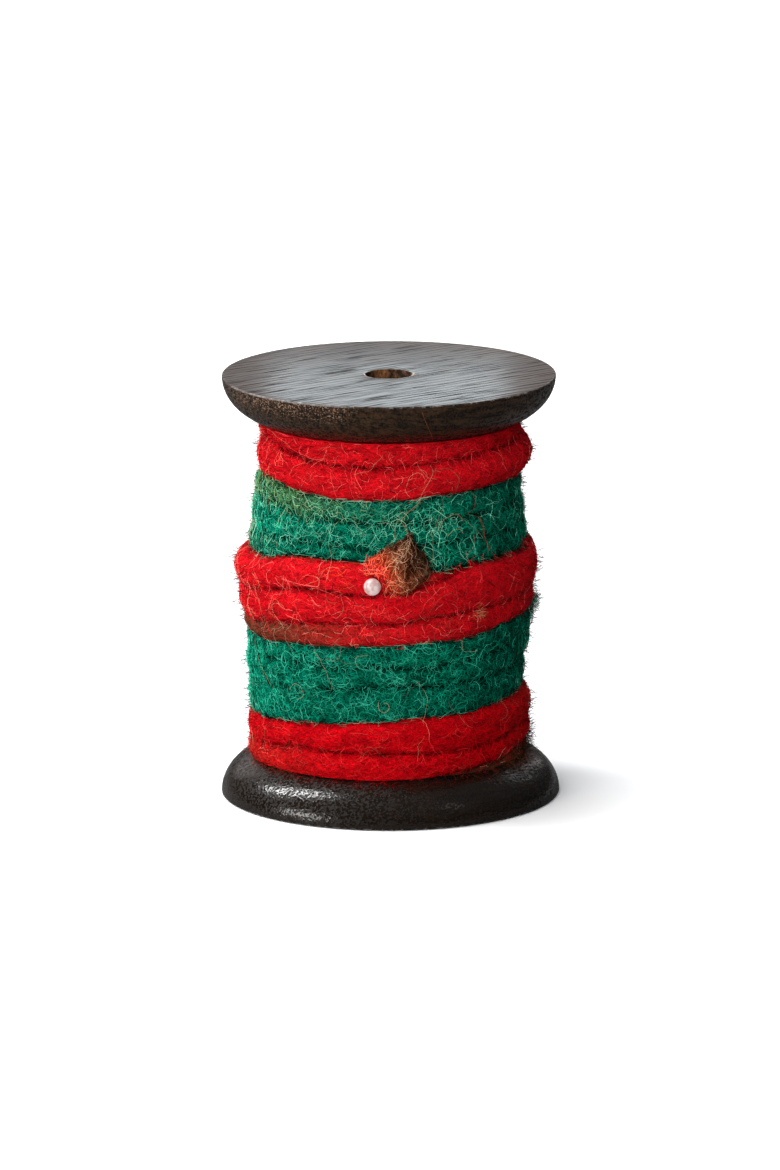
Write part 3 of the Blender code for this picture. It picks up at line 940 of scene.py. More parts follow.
def lifts(rng, kind, count):
    """How far each point of each fibre stands off the surface, in mm."""
    u = np.linspace(0.0, 1.0, kind.points)
    base = rng.uniform(*kind.lift, (count, 1))
    arch = rng.uniform(0.2, 1.0, (count, 1)) * kind.arch
    tip = rng.uniform(0.25, 1.0, (count, 1)) ** 1.5 * kind.tip
    return base + arch * np.sin(np.pi * u) + tip * u**0.8


def spots(rng, count):
    """Random places on the winding, even over its area."""
    azimuth = rng.uniform(-180.0, 180.0, count)
    return azimuth, rng.uniform(*SPOT_HEIGHTS, count)


def lying_fibres(rng, kind, azimuth, height):
    """Fibres that lie on a turn and follow it, without crossing the grooves."""
    count = len(azimuth)
    along, share = turn_at(azimuth, height)
    path = curly_paths(rng, kind, count, 0.8 * kind.spread * SWIRL(azimuth, height))
    path -= path.mean(axis=1, keepdims=True)
    radius = surface_radius(along, share)[:, None]
    places = along[:, None] + np.degrees(path[..., 0] / radius)
    shares = np.clip(share[:, None] + path[..., 1] / turn_width(places), *INNER_SHARES)
    radius = surface_radius(places, shares) + lifts(rng, kind, count)
    heights = lower_edge(places) + shares * turn_width(places)
    return polar(radius, places, heights)


def eased(radius):
    """Radii along lines, each but the first and last evened with its two neighbours."""
    even = radius.copy()
    even[..., 1:-1] = (radius[..., :-2] + radius[..., 1:-1] + radius[..., 2:]) / 3.0
    return even


def crossing_fibres(rng, kind, azimuth, height, start=-math.inf, end=math.inf):
    """Fibres that may cross from turn to turn, but hardly out of their band of the ribbon."""
    count = len(azimuth)
    path = curly_paths(rng, kind, count)
    along = turn_at(azimuth, height)[0][:, None]
    moved = np.degrees(path[..., 0] / radius_at(azimuth, height)[:, None])
    azimuths = azimuth[:, None] + moved
    reach = BORDER_REACH * (2.0 * rng.random((count, 1)) ** 3 - 0.4)
    low = np.where(along - 360.0 < start, lower_edge(along + moved) - reach, FIBRE_HEIGHTS[0])
    high = np.where(along + 360.0 >= end, lower_edge(along + moved + 360.0) + reach, FIBRE_HEIGHTS[1])
    heights = np.clip(np.clip(height[:, None] + path[..., 1], low, high), *FIBRE_HEIGHTS)
    return polar(eased(radius_at(azimuths, heights)) + lifts(rng, kind, count), azimuths, heights)


def unit(vectors):
    return vectors / np.maximum(np.linalg.norm(vectors, axis=-1, keepdims=True), 1e-9)


def tube_points(lines, thick):
    """Three-sided tubes with pointed ends: a tip, rings round the inner points and a tip, for each fibre."""
    ahead = unit(np.gradient(lines, axis=1))[:, 1:-1]
    inner = lines[:, 1:-1]
    outward = unit(inner * (1.0, 1.0, 0.0)) + (0.0, 0.0, 0.05)
    up = unit(outward - (outward * ahead).sum(axis=-1, keepdims=True) * ahead)
    side = np.cross(up, ahead)
    angles = 2.0 * np.pi * np.arange(SIDES) / SIDES + 0.5 * np.pi
    spokes = side[:, :, None] * np.cos(angles)[:, None] + up[:, :, None] * np.sin(angles)[:, None]
    rings = inner[:, :, None] + spokes * thick[:, None, None, None] * MM
    return np.concatenate((lines[:, :1], rings.reshape(len(lines), -1, 3), lines[:, -1:]), axis=1)


def tube_faces(points):
    """One tube's faces as (point, side) corners: a fan at each tip, and the quads between."""
    last = points - 1
    fans = [((0, k + 0.5), (1, k + 1), (1, k)) for k in range(SIDES)]
    rings = [(j, k) for j in range(1, last - 1) for k in range(SIDES)]
    quads = [((j, k), (j, k + 1), (j + 1, k + 1), (j + 1, k)) for j, k in rings]
    return fans + quads + [((last - 1, k), (last - 1, k + 1), (last, k + 0.5)) for k in range(SIDES)]


def tube_index(point, side, points):
    """A corner's place in its tube's list of points."""
    if point == 0:
        return 0
    return 1 + (point - 1) * SIDES + (side % SIDES if point < points - 1 else 0)


def clear_of_head(lines):
    """Which fibres stay out of the pin's head."""
    low, high = (np.array(corner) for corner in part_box("pin_head"))
    distance = np.linalg.norm(lines - 0.5 * (low + high), axis=-1).min(axis=-1)
    return distance > 0.5 * (high[2] - low[2]) + HEAD_ROOM


def make_fibres(name, lines, thick, dye, tone, material):
    """One mesh of many fibres. Each has its own dye and tone, and its own small cell of the bake's UV map."""
    kept = clear_of_head(lines)
    lines, thick, dye, tone = lines[kept], thick[kept], dye[kept], tone[kept]
    count, points = lines.shape[:2]
    places = tube_points(lines, thick)
    tube_size = places.shape[1]
    places = places.reshape(-1, 3)
    faces = tube_faces(points)
    corners = [corner for face in faces for corner in face]
    sizes = [len(face) for face in faces]
    one_tube = np.array([int(tube_index(j, k, points)) for j, k in corners])
    loops = (np.arange(count)[:, None] * tube_size + one_tube).ravel()
    starts = np.concatenate(([0], np.cumsum(sizes)[:-1]))
    face_starts = (np.arange(count)[:, None] * len(corners) + starts).ravel()
    mesh = bpy.data.meshes.new(name)
    mesh.vertices.add(len(places))
    mesh.vertices.foreach_set("co", places.astype(np.float32).ravel())
    mesh.loops.add(len(loops))
    mesh.loops.foreach_set("vertex_index", loops.astype(np.int32))
    mesh.polygons.add(len(face_starts))
    mesh.polygons.foreach_set("loop_start", face_starts.astype(np.int32))
    mesh.update(calc_edges=True)
    mesh.shade_smooth()
    add_cell_map(mesh, count, points, corners)
    set_attribute(mesh, "dye", np.repeat(dye, tube_size))
    set_attribute(mesh, "tone", np.repeat(tone, tube_size))
    made = bpy.data.objects.new(name, mesh)
    bpy.context.scene.collection.objects.link(made)
    return finish_piece(made, material, "fleece")


def add_cell_map(mesh, count, points, corners):
    """Lays each tube in a square cell of its own, unrolled from tip to tip."""
    (left, foot), (wide, high) = CELL_START, CELL_SPAN
    in_cell = [(left + wide * k / SIDES, foot + high * j / (points - 1)) for j, k in corners]
    cells = math.ceil(math.sqrt(count))
    corner = np.stack((np.arange(count) % cells, np.arange(count) // cells), axis=-1)
    uv = (corner[:, None] + np.array(in_cell)) / cells
    layer = mesh.uv_layers.new(name="OFBake")
    layer.data.foreach_set("uv", uv.astype(np.float32).ravel())


def smooth_share(value, low, high):
    share = np.clip((value - low) / (high - low), 0.0, 1.0)
    return share * share * (3.0 - 2.0 * share)


def tones(rng, azimuth, low, high, pale_share=0.0, both_sides=False):
    """Each fibre's tone, with a few pale ones and fewer of them at the spool's right. With both_sides the
    fibres at the right are darker, which is painted shade, and there are fewer pale ones at the left too.
    """
    count = len(azimuth)
    flat = smooth_share(azimuth, *RIGHT_SIDE_AZIMUTHS)
    made = rng.uniform(low, high, count)
    if both_sides:
        # Painted shade: darker fibres at the spool's right
        made *= 1.0 - RIGHT_PAINTED_SHADE * flat
        flat = np.maximum(flat, LEFT_PALE_LOSS_SHARE * smooth_share(-azimuth, *LEFT_SIDE_AZIMUTHS))
    pale = rng.random(count) < pale_share * (1.0 - SIDE_PALE_LOSS * flat)
    return np.where(pale, PALE_TONE + PALE_REACH * rng.random(count) ** PALE_POWER, made)


def dye_places(rng, along, spread):
    """Fibres of the neighbouring colour mix in where the ribbon changes its colour."""
    return np.clip((ribbon_dye(along) + rng.normal(0.0, spread, len(along))) / LENGTH_ROUND, 0.0, 1.0)


def make_pile(material):
    """The winding's lying fibres, one piece for each band of colour and layer."""
    seed = PILE_SEED
    for band, start, end, layers in BANDS:
        for layer in layers:
            seed += 1
            rng = np.random.default_rng(seed)
            azimuth, height = spots(rng, layer.kind.count)
            along, share = turn_at(azimuth, height)
            own = (along >= start) & (along < end)
            azimuth, height, along, share = azimuth[own], height[own], along[own], share[own]
            if layer.name == "pile":
                lines = lying_fibres(rng, layer.kind, azimuth, height)
            else:
                lines = crossing_fibres(rng, layer.kind, azimuth, height, start, end)
            tone_range = layer.low_tone, layer.high_tone
            tone = tones(rng, azimuth, *tone_range, layer.pale_share, layers is TANGLED)
            thick = layer.kind.thick * rng.uniform(*THICK_RANGE, len(along))
            thick *= np.where(tone > 1.0, PALE_THICK, 1.0)
            # Painted shade: the pile's fibres are darker close to a groove
            tone = np.maximum(tone - painted_groove_shade(along, share) * (layer.name == "pile"), 0.0)
            dye = dye_places(rng, along, PILE_DYE_SPREAD)
            make_fibres(f"{layer.name}_{band}", lines, thick, dye, tone, material)


def make_fuzz(material):
    """Short hairs that stand off the whole winding and soften its outline, and long stray ones over it."""
    pieces = (("outline_fuzz", FUZZ, FUZZ_TONES), ("stray_hairs", STRAY, STRAY_TONES))
    for number, (name, kind, tone_range) in enumerate(pieces):
        rng = np.random.default_rng(FUZZ_SEED + number)
        azimuth, height = spots(rng, kind.count)
        if kind is STRAY:
            kept = rng.random(kind.count) > STRAY_LOSS * smooth_share(azimuth, *STRAY_LOSS_AZIMUTHS)
            azimuth, height = azimuth[kept], height[kept]
        lines = crossing_fibres(rng, kind, azimuth, height)
        thick = kind.thick * rng.uniform(*THICK_RANGE, len(azimuth))
        tone = tones(rng, azimuth, *tone_range)
        dye = dye_places(rng, turn_at(azimuth, height)[0], FUZZ_DYE_SPREAD)
        if kind is STRAY:
            dye[:] = STRAY_DYE / LENGTH_ROUND
        make_fibres(name, lines, thick, dye, tone, material)


# Tufts of loose wool, each with its dye's place, tones, middle and spread in azimuth and height, and hairs
Tuft = namedtuple("Tuft", "dye low_tone high_tone azimuth height wide high count")
TUFTS = (
    Tuft(1800, 0.0, 0.5, 92, 45.6, 7, 1.2, 260),
    Tuft(3080, 0.0, 0.5, 84, 13.5, 9, 1.5, 160),
    Tuft(3000, 0.8, 1.3, 37.5, 48.8, 1.6, 0.5, 34),
)
SHOULDER_TUFTS = (
    Tuft(3080, 0.1, 0.6, 66, 0, 15, 0, 420),
    Tuft(2980, 0.0, 0.42, -60, 0, 15, 0, 150),
    Tuft(5000, 0.0, 0.45, -20, 0, 50, 0, 170),
)
SHOULDER_START = 31.0
SHOULDER_SPREAD = 4.0
SHOULDER_CLOSENESS = 1.8
SHOULDER_RADII = (30.0, 39.0)
HAIR_CLEARANCE = 0.1


def make_tufts(material):
    """Loose wool at the outline, and stray hairs that lie on the foot's shoulder."""
    rng = np.random.default_rng(TUFT_SEED)
    for name, kind, tufts in (
        ("edge_tufts", TUFT_HAIRS, TUFTS),
        ("shoulder_hairs", SHOULDER_HAIRS, SHOULDER_TUFTS),
    ):
        lines, dye, tone = [], [], []
        for tuft in tufts:
            azimuth = tuft.azimuth + tuft.wide * rng.normal(size=tuft.count)
            if name == "edge_tufts":
                height = tuft.height + tuft.high * rng.normal(size=tuft.count)
                lines.append(crossing_fibres(rng, kind, azimuth, height))
            else:
                lines.append(shoulder_fibres(rng, kind, azimuth))
            dye.append(tuft.dye + rng.normal(0.0, TUFT_DYE_SPREAD, tuft.count))
            tone.append(rng.uniform(tuft.low_tone, tuft.high_tone, tuft.count))
        lines, dye, tone = (np.concatenate(parts) for parts in (lines, dye, tone))
        thick = kind.thick * rng.uniform(*TUFT_THICK_RANGE, len(lines))
        make_fibres(name, lines, thick, dye / LENGTH_ROUND, tone, material)


def shoulder_fibres(rng, kind, azimuth):
    """Hairs on the foot's shoulder, most of them close to the winding."""
    path = curly_paths(rng, kind, len(azimuth))
    start = SHOULDER_START + SHOULDER_SPREAD * rng.random((len(azimuth), 1)) ** SHOULDER_CLOSENESS
    radius = np.clip(start + path[..., 1], *SHOULDER_RADII)
    azimuths = azimuth[:, None] + np.degrees(path[..., 0] / start)
    shoulder = shoulder_height(radius * MM, BOTTOM_DISC_RADIUS) / MM + HAIR_CLEARANCE
    heights = shoulder + lifts(rng, kind, len(azimuth))
    return polar(radius, azimuths, heights)


# The frayed end

EndSection = namedtuple("EndSection", "azimuth low high lift")
END_SECTIONS = (
    EndSection(-9, 60.8, 62.0, 0.3),
    EndSection(-6, 59.8, 63.2, 0.8),
    EndSection(-2, 57.2, 64.9, 1.6),
    EndSection(2, 55.6, 66.4, 2.5),
    EndSection(5.4, 55.4, 67.6, 3.1),
    EndSection(8.5, 56.4, 69.0, 3.0),
    EndSection(10.6, 57.6, 66.2, 2.6),
    EndSection(13, 59.0, 64.6, 2.0),
    EndSection(15.6, 60.2, 62.2, 0.9),
)
END_AZIMUTHS = [section.azimuth for section in END_SECTIONS]
END_LEFT, END_RIGHT = END_AZIMUTHS[0], END_AZIMUTHS[-1]
END_GRID = 26
END_FIRST_DYE = 2882.0
END_LAST_DYE = 3105.0
END_BROWN = (2950.0, 150.0)  # where along the ribbon its brown starts, and over how far it grows
END_CLEARANCE = 0.35
END_RELIEF = 0.15
END_RIM_LIFT = 0.30  # the lift at the sheet's own edge, as a share of the lift at its middle
END_REACH = 36.0  # mm, the radius that the frayed end is unrolled at
END_APEX = (5.6, 69.4)  # on the unrolled winding, in mm to the right of the front and up
END_CURL = (4.2, 60.6)
END_HOLLOW = (5.6, 61.4)
HOLLOW_REACH = 2.1
HOLLOW_DEPTH = 0.5
# Painted shade in the hollow, taken off its fibres' tone
HOLLOW_PAINTED_SHADE = 0.4
CURL_TOP = 63.5  # mm, the height up to which the strands curl, and over how far they then straighten
CURL_FADE = 4.0

# How far across and up it turns brown, and what its brown, its right and its pale fibres are like
BROWN_ACROSS, BROWN_UP, BROWN_START = 1.25, 0.55, 0.58
BROWN_POWER = 1.1
BROWN_LOSS = 0.3
END_PALE_TONES = (1.1, 1.55)
END_PALE_SHARE = 0.05
END_PALE_IN_BROWN = 0.12
END_PALE_LIMIT = 0.72
END_DULL_LIMIT = 0.75
END_DULLNESS = 0.3
END_DYE_SPREAD = 16.0
END_PALE_DYE = 70.0
END_PALE_DYE_LIMIT = 0.35


def end_edges(azimuth):
    """The frayed end's low edge, high edge and lift at azimuths."""
    columns = ([getattr(section, name) for section in END_SECTIONS] for name in ("low", "high", "lift"))
    return (through(END_AZIMUTHS, column, azimuth) for column in columns)


def in_hollow(azimuth, height):
    """1 in the middle of the frayed end's hollow, which is dented and gets painted shade, with its strands
    curling round it, and 0 away from it.
    """
    across = np.radians(azimuth) * END_REACH - END_HOLLOW[0]
    return np.exp(-(across**2 + (height - END_HOLLOW[1]) ** 2) / HOLLOW_REACH**2)


def end_surface(azimuth, share, lifted):
    """A place on the frayed end: its under side, or its domed outer side where lifted is 1."""
    low, high, lift = end_edges(azimuth)
    height = low + (high - low) * share
    base = radius_at(azimuth, height) + END_CLEARANCE
    rise = END_RIM_LIFT + (1 - END_RIM_LIFT) * np.sin(np.pi * share)
    dome = rise * (1.0 - HOLLOW_DEPTH * in_hollow(azimuth, height))
    return base + lift * dome * lifted, height


def make_loose_end(packed, fibre):
    """The flared, frayed end of the ribbon as a closed sheet, with its own pile."""
    deselect_all()
    bpy.ops.mesh.primitive_grid_add(x_subdivisions=END_GRID, y_subdivisions=END_GRID, size=1.0)
    made = bpy.context.object
    made.name = made.data.name = "frayed_end"
    flat = np.array([vertex.co[:2] for vertex in made.data.vertices])
    azimuth = END_LEFT + (END_RIGHT - END_LEFT) * (flat[:, 0] + 0.5)
    share = flat[:, 1] + 0.5
    under_radius, height = end_surface(azimuth, share, 0.0)
    outer_radius, height = end_surface(azimuth, share, 1.0)
    under = polar(under_radius, azimuth, height)
    outer = polar(outer_radius + END_RELIEF * STREAKS(azimuth, height), azimuth, height)
    made.data.vertices.foreach_set("co", under.astype(np.float32).ravel())
    bpy.ops.object.mode_set(mode="EDIT")
    bpy.ops.mesh.select_all(action="SELECT")
    bpy.ops.mesh.duplicate()
    bpy.ops.object.mode_set(mode="OBJECT")
    made.data.vertices.foreach_set("co", np.concatenate((under, outer)).astype(np.float32).ravel())
    bridge_open_edges()
    across = np.tile((azimuth - END_LEFT) / (END_RIGHT - END_LEFT), 2)
    set_attribute(made.data, "dye", end_dye(across, np.tile(share, 2)))
    finish_piece(made, packed, "fleece_end", "loose_end")
    pile = make_end_fibres("frayed_pile", END_PILE, fibre)
    strands = make_end_fibres("frayed_strands", END_STRANDS, fibre)


def end_dye(across, share):
    """From the ribbon's orange red, at the left and along the foot, to dark brown at the cut edge."""
    brown = np.clip(BROWN_ACROSS * across + BROWN_UP * share - BROWN_START, 0.0, 1.0)
    return (END_FIRST_DYE + (END_LAST_DYE - END_FIRST_DYE) * brown) / LENGTH_ROUND


def end_flow(across, up):
    """The heading of the frayed end's strands: round its curl below, and drawn to its apex above."""
    round_curl = np.arctan2(across - END_CURL[0], END_CURL[1] - up)
    to_apex = np.arctan2(END_APEX[1] - up, END_APEX[0] - across)
    turned = (round_curl - to_apex + 0.5 * np.pi) % np.pi - 0.5 * np.pi
    return to_apex + turned * (1.0 - np.clip((up - CURL_TOP) / CURL_FADE, 0.0, 1.0))


def over_end(azimuth, height):
    """The radius of what shows at a place near the frayed end: its dome, or the winding beside it."""
    low, high, lift = end_edges(azimuth)
    share = (height - low) / (high - low)
    inside = (share > 0.0) & (share < 1.0) & (azimuth > END_LEFT) & (azimuth < END_RIGHT)
    dome = end_surface(azimuth, np.clip(share, 0.0, 1.0), 1.0)[0]
    return np.where(inside, dome, radius_at(azimuth, height) + END_CLEARANCE)


def end_paths(rng, kind, place):
    """Lines over the unrolled frayed end that follow its flow, each with its middle at its place."""
    step = rng.uniform(*kind.length, kind.count)[:, None] / (kind.points - 1)
    lean = rng.normal(0.0, kind.spread, kind.count)
    curl = rng.normal(0.0, kind.curl, kind.count)
    line = [place]
    for number in range(kind.points - 1):
        zigzag = rng.normal(0.0, kind.crimp, kind.count)
        curled = curl * (number / (kind.points - 2) - 0.5)
        turn = end_flow(*line[-1].T) + np.radians(lean + curled + zigzag)
        line.append(line[-1] + step * np.stack((np.cos(turn), np.sin(turn)), axis=-1))
    line = np.stack(line, axis=1)
    return line + (place - line.mean(axis=1))[:, None]


def end_tones(rng, kind, across, brown, hollow):
    """Each fibre's tone, darker in the brown and with painted shade in the hollow, and which of the fibres
    are pale.
    """
    tone = rng.uniform(0.0, 1.0, kind.count) ** (1.0 + BROWN_POWER * brown)
    # Painted shade: fibres in the hollow are darker
    tone = tone - brown * rng.uniform(0.0, BROWN_LOSS, kind.count) - HOLLOW_PAINTED_SHADE * hollow
    pale_share = END_PALE_SHARE + END_PALE_IN_BROWN * brown * (across < END_PALE_LIMIT)
    pale = rng.random(kind.count) < (1.0 if kind is END_STRANDS else pale_share)
    pale_tone = rng.uniform(*END_PALE_TONES, kind.count) - END_DULLNESS * (across > END_DULL_LIMIT)
    return np.where(pale, pale_tone, np.maximum(tone, 0.0)), pale


def make_end_fibres(name, kind, material):
    """Fibres that follow the frayed end's flow: its pile, or the few light strands over it."""
    rng = np.random.default_rng(END_SEED + kind.points)
    across, share = rng.uniform(0.0, 1.0, kind.count), rng.uniform(0.0, 1.0, kind.count)
    azimuth = END_LEFT + (END_RIGHT - END_LEFT) * across
    height = end_surface(azimuth, share, 1.0)[1]
    line = end_paths(rng, kind, np.stack((np.radians(azimuth) * END_REACH, height), axis=-1))
    places, heights = np.degrees(line[..., 0] / END_REACH), line[..., 1]
    radius = eased(over_end(places, heights)) + lifts(rng, kind, kind.count)
    thick = kind.thick * rng.uniform(*THICK_RANGE, kind.count)
    dye = end_dye(across, share)
    brown = np.clip((dye * LENGTH_ROUND - END_BROWN[0]) / END_BROWN[1], 0.0, 1.0)
    tone, pale = end_tones(rng, kind, across, brown, in_hollow(azimuth, height))
    shifted = END_PALE_DYE * pale * (across > END_PALE_DYE_LIMIT)
    strayed = rng.normal(0.0, END_DYE_SPREAD, kind.count) + shifted
    dye = np.minimum(dye + strayed / LENGTH_ROUND, END_LAST_DYE / LENGTH_ROUND)
    made = make_fibres(name, polar(radius, places, heights), thick, dye, tone, material)
    return made


# Single long hairs, each with its dye's place along the ribbon, its tone and its (azimuth, height) points
LONG_HAIRS = (
    (3080, 1.15, ((8.2, 68.2), (6.2, 70.8), (4.2, 72.6), (4.5, 74.6))),
    (3080, 1.05, ((8.6, 67.4), (7.4, 70.0), (5.8, 71.6))),
    (
        3095,
        1.20,
        ((4.2, 71.7), (8.2, 74.2), (12.7, 76.3), (13.4, 78.5), (15.6, 80.9), (18.1, 83.4), (17.6, 85.1)),
    ),
    (
        3095,
        1.05,
        ((17.8, 84.6), (18.9, 83.6), (23.6, 84.1), (27.1, 83.0), (28.9, 81.2), (28.4, 79.1), (29.5, 77.5)),
    ),
    (3095, 1.20, ((4.2, 72.6), (2.4, 70.8), (2.3, 69.2), (1.4, 67.2))),
    (3095, 1.15, ((5.4, 62.4), (8.1, 60.8), (9.6, 59.6), (10.4, 58.4))),
    (3095, 1.20, ((5.6, 65.4), (9.0, 65.0), (11.2, 65.8), (12.8, 64.4), (15.0, 64.5))),
    (3095, 1.10, ((11.0, 57.6), (13.4, 58.3), (16.4, 58.6))),
    (3095, 1.15, ((12.4, 58.2), (13.6, 56.8), (14.8, 55.4))),
    (3060, 1.00, ((9.8, 67.0), (9.4, 68.8), (10.2, 70.0))),
    (3040, 1.00, ((-7.8, 63.2), (-3.0, 65.4), (0.4, 67.0), (3.0, 68.4))),
    (3060, 1.00, ((41.1, 71.2), (42.7, 68.5), (43.8, 64.8), (44.9, 62.9))),
    (3060, 0.85, ((40.6, 71.6), (42.0, 68.5), (43.4, 65.4), (44.2, 62.6))),
    (3060, 0.85, ((38.0, 77.5), (39.0, 75.2), (38.0, 73.2), (35.5, 72.4), (41.1, 71.2))),
    (3500, 1.40, ((18.4, 74.9), (25.3, 71.9))),
    (3060, 0.95, ((29.3, 72.9), (35.5, 70.0), (41.6, 66.9))),
    (3500, 1.20, ((35.5, 67.4), (36.9, 65.0), (36.9, 62.8))),
    (3500, 1.30, ((15.2, 67.0), (15.6, 68.8), (18.0, 69.6), (20.6, 68.6), (20.9, 66.8), (20.0, 65.2))),
    (5000, 0.95, ((46.8, 88.5), (47.3, 85.4), (47.3, 82.8))),
    (5000, 0.06, ((-54.3, 88.3), (-49.1, 86.4), (-42.1, 85.5), (-35.8, 85.1))),
    (5000, 0.06, ((-53.0, 88.3), (-48.1, 86.8), (-41.1, 85.9), (-37.8, 85.5))),
    (5000, 1.10, ((-51.0, 87.6), (-42.0, 86.3), (-33.0, 85.2), (-30.0, 83.8))),
    (5000, 1.20, ((-25.5, 83.3), (-23.7, 80.1), (-22.5, 77.3))),
    (5000, 1.30, ((-13.5, 84.7), (-14.3, 82.8), (-11.0, 79.6))),
    (5000, 1.10, ((-23.7, 86.3), (-18.5, 83.6))),
    (5000, 1.30, ((-43.6, 57.3), (-34.2, 56.6), (-26.7, 56.6))),
    (5000, 1.15, ((-31.3, 56.8), (-24.0, 55.3), (-18.8, 54.1))),
    (2960, 0.45, ((11.2, 99.3), (12.5, 97.0), (14.5, 94.5), (17.0, 92.0), (19.5, 89.5))),
)
LONG_HAIR_POINTS = 22
LONG_HAIR_THICK = 0.050
LONG_HAIR_LIFT = 0.75
LONG_HAIR_EASINGS = 3


def head_radius(height):
    """The radius of the top disc's curved side at heights in mm."""
    depth = SPOOL_HEIGHT / MM - height - RIM_FILLET / MM
    below = np.clip(depth / ((DISC_THICKNESS - RIM_FILLET) / MM), 0.0, 1.0)
    reach = (1 - below**SHOULDER_POWER) ** (1 / SHOULDER_POWER)
    return TOP_DISC_RADIUS / MM * (SHOULDER_SHARE + (1 - SHOULDER_SHARE) * reach)


def make_long_hairs(material):
    """The few long hairs that stand out, most of them round the frayed end."""
    along = np.linspace(0.0, 1.0, LONG_HAIR_POINTS)
    lines = []
    for dye, tone, points in LONG_HAIRS:
        stations = np.linspace(0.0, 1.0, len(points))
        azimuth, height = (through(stations, [point[i] for point in points], along) for i in (0, 1))
        over_wood = head_radius(height) + HAIR_CLEARANCE
        radius = np.maximum(over_end(azimuth, height) + LONG_HAIR_LIFT, over_wood)
        for _ in range(LONG_HAIR_EASINGS):
            radius = eased(radius)
        lines.append(polar(radius, azimuth, height))
    dyes, tone = (np.array([hair[i] for hair in LONG_HAIRS], float) for i in (0, 1))
    thick = np.full(len(LONG_HAIRS), LONG_HAIR_THICK)
    make_fibres("long_hairs", np.array(lines), thick, dyes / LENGTH_ROUND, tone, material)


# Camera and light

CAMERA_LENS = 287.21
CAMERA_DISTANCE = 2.202
CAMERA_TILT = 0.2236
CAMERA_ROLL = -0.004
SENSOR_WIDTH = 36.0
FAR_CLIP = 50.0
AIM = Vector((0.00008, 0.0, 0.0496))
FLOOR_SIZE = 12.0
FLOOR_HEIGHT = -0.0002
FLOOR_SHOWN = 0.96
FLOOR_BOUNCE = 0.13
HORIZON_LIGHT = 0.10
ZENITH_LIGHT = 0.55
SKY_COLOUR = (0.95, 0.975, 1.0, 1.0)
SKY_REFLECTED = 0.25
KEY_ROLL = math.radians(-30.5)


def make_camera():
    data = bpy.data.cameras.new("camera")
    data.lens = CAMERA_LENS
    data.sensor_width = SENSOR_WIDTH
    data.clip_end = FAR_CLIP
    camera = bpy.data.objects.new("camera", data)
    bpy.context.scene.collection.objects.link(camera)
    back = Vector((0.0, -math.cos(CAMERA_TILT), math.sin(CAMERA_TILT)))
    camera.location = AIM + CAMERA_DISTANCE * back
    roll = Quaternion((0.0, 0.0, 1.0), CAMERA_ROLL)
    camera.rotation_euler = (back.to_track_quat("Z", "Y") @ roll).to_euler()
    bpy.context.scene.camera = camera


def make_light(name, place, width, depth, power, colour=(1.0, 1.0, 1.0), glossy=True, roll=0.0):
    data = bpy.data.lights.new(name, "AREA")
    data.shape = "RECTANGLE"
    data.size, data.size_y = width, depth
    data.energy = power
    data.color = colour
    light = bpy.data.objects.new(name, data)
    bpy.context.scene.collection.objects.link(light)
    light.visible_camera = False
    light.visible_glossy = glossy
    light.location = place
    aimed = (Vector(place) - AIM).to_track_quat("Z", "Y")
    light.rotation_euler = (aimed @ Quaternion((0.0, 0.0, 1.0), roll)).to_euler()


def make_floor():
    """A pale floor that looks white to the camera and throws less light back on the object."""
    made = bpy.data.materials.new("pale floor")
    made.use_nodes = True
    tree = made.node_tree
    tree.nodes.remove(tree.nodes["Principled BSDF"])
    tint = noise(tree, object_places(tree), 3.0, 2.0, 0.5)
    shown = mix_colour(tree, tint, (FLOOR_SHOWN,) * 3, (FLOOR_SHOWN + 0.01,) * 3)
    seen = tree.nodes.new("ShaderNodeLightPath").outputs["Is Camera Ray"]
    colour = mix_colour(tree, seen, (FLOOR_BOUNCE,) * 3, shown)
    shader = node(tree, "ShaderNodeBsdfDiffuse", {"Color": colour})
    tree.links.new(shader.outputs[0], tree.nodes["Material Output"].inputs["Surface"])
    deselect_all()
    bpy.ops.mesh.primitive_plane_add(size=FLOOR_SIZE, location=(0.0, 0.0, FLOOR_HEIGHT))
    floor = bpy.context.object
    floor.name = "floor"
    floor.data.materials.append(made)


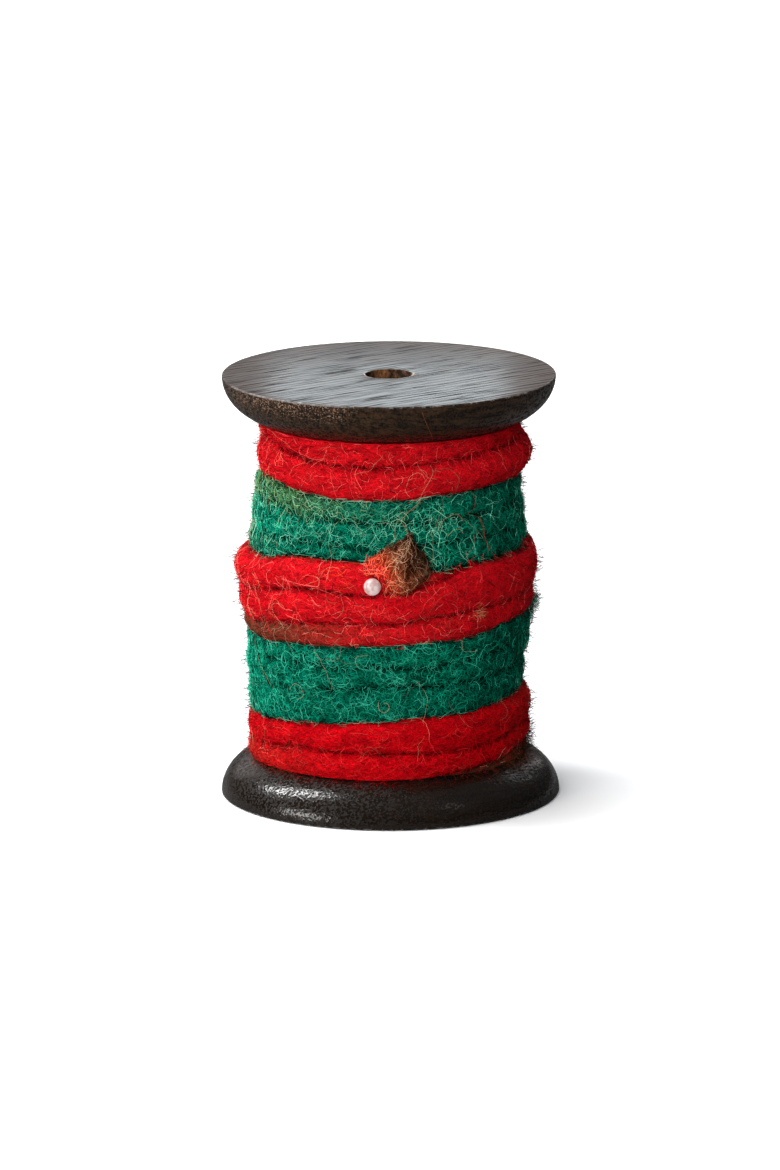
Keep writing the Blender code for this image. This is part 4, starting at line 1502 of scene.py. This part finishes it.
def make_world():
    """Soft light from all round, brighter from above."""
    world = bpy.data.worlds.new("studio")
    bpy.context.scene.world = world
    world.use_nodes = True
    tree = world.node_tree
    direction = tree.nodes.new("ShaderNodeTexCoord").outputs["Generated"]
    up = node(tree, "ShaderNodeSeparateXYZ", {0: direction}).outputs["Z"]
    sky = remap(tree, up, 0.0, 1.0, HORIZON_LIGHT, ZENITH_LIGHT)
    path = tree.nodes.new("ShaderNodeLightPath").outputs
    reflected = times(tree, sky, SKY_REFLECTED)
    lit = mixed(tree, path["Is Glossy Ray"], sky, reflected)
    background = tree.nodes["Background"]
    background.inputs["Color"].default_value = SKY_COLOUR
    tree.links.new(mixed(tree, path["Is Camera Ray"], lit, 1.0), background.inputs["Strength"])


def make_studio():
    make_floor()
    make_world()
    make_light("key light", (-1.86, 0.42, 2.31), 0.54, 1.9, 64.0, roll=KEY_ROLL)
    make_light("top light", (-0.6, 0.1, 2.9), 1.0, 1.0, 44.0, glossy=False)
    make_light("side light", (-2.69, -1.43, 0.66), 1.7, 0.8, 35.0, (1.0, 0.985, 0.96))
    make_light("front light", (-1.2, -2.6, 0.85), 2.4, 2.0, 124.0, glossy=False)
    make_light("right light", (1.7, -1.35, 2.05), 0.6, 0.6, 0.8)
    make_light("rear light", (1.5, 2.3, 1.8), 1.2, 1.2, 2.5)
    make_light("fill light", (2.0, 2.5, 1.3), 1.5, 1.5, 20.0, glossy=False)
    make_light("back light", (-0.1, 0.9, 0.42), 1.2, 0.5, 1.50, (1.0, 0.92, 0.92))
    make_light("sheen light", (0.0, 0.06, 0.125), 0.058, 0.02, 0.0140, (0.76, 0.93, 1.0))
    bpy.context.scene.view_settings.view_transform = "Standard"


make_camera()
make_studio()
make_spool()
make_pin()
PACKED_WOOL = packed_wool()
WOOL_FIBRE = wool_fibre()
make_winding(PACKED_WOOL)
make_pile(WOOL_FIBRE)
make_fuzz(WOOL_FIBRE)
make_tufts(WOOL_FIBRE)
make_loose_end(PACKED_WOOL, WOOL_FIBRE)
make_long_hairs(WOOL_FIBRE)
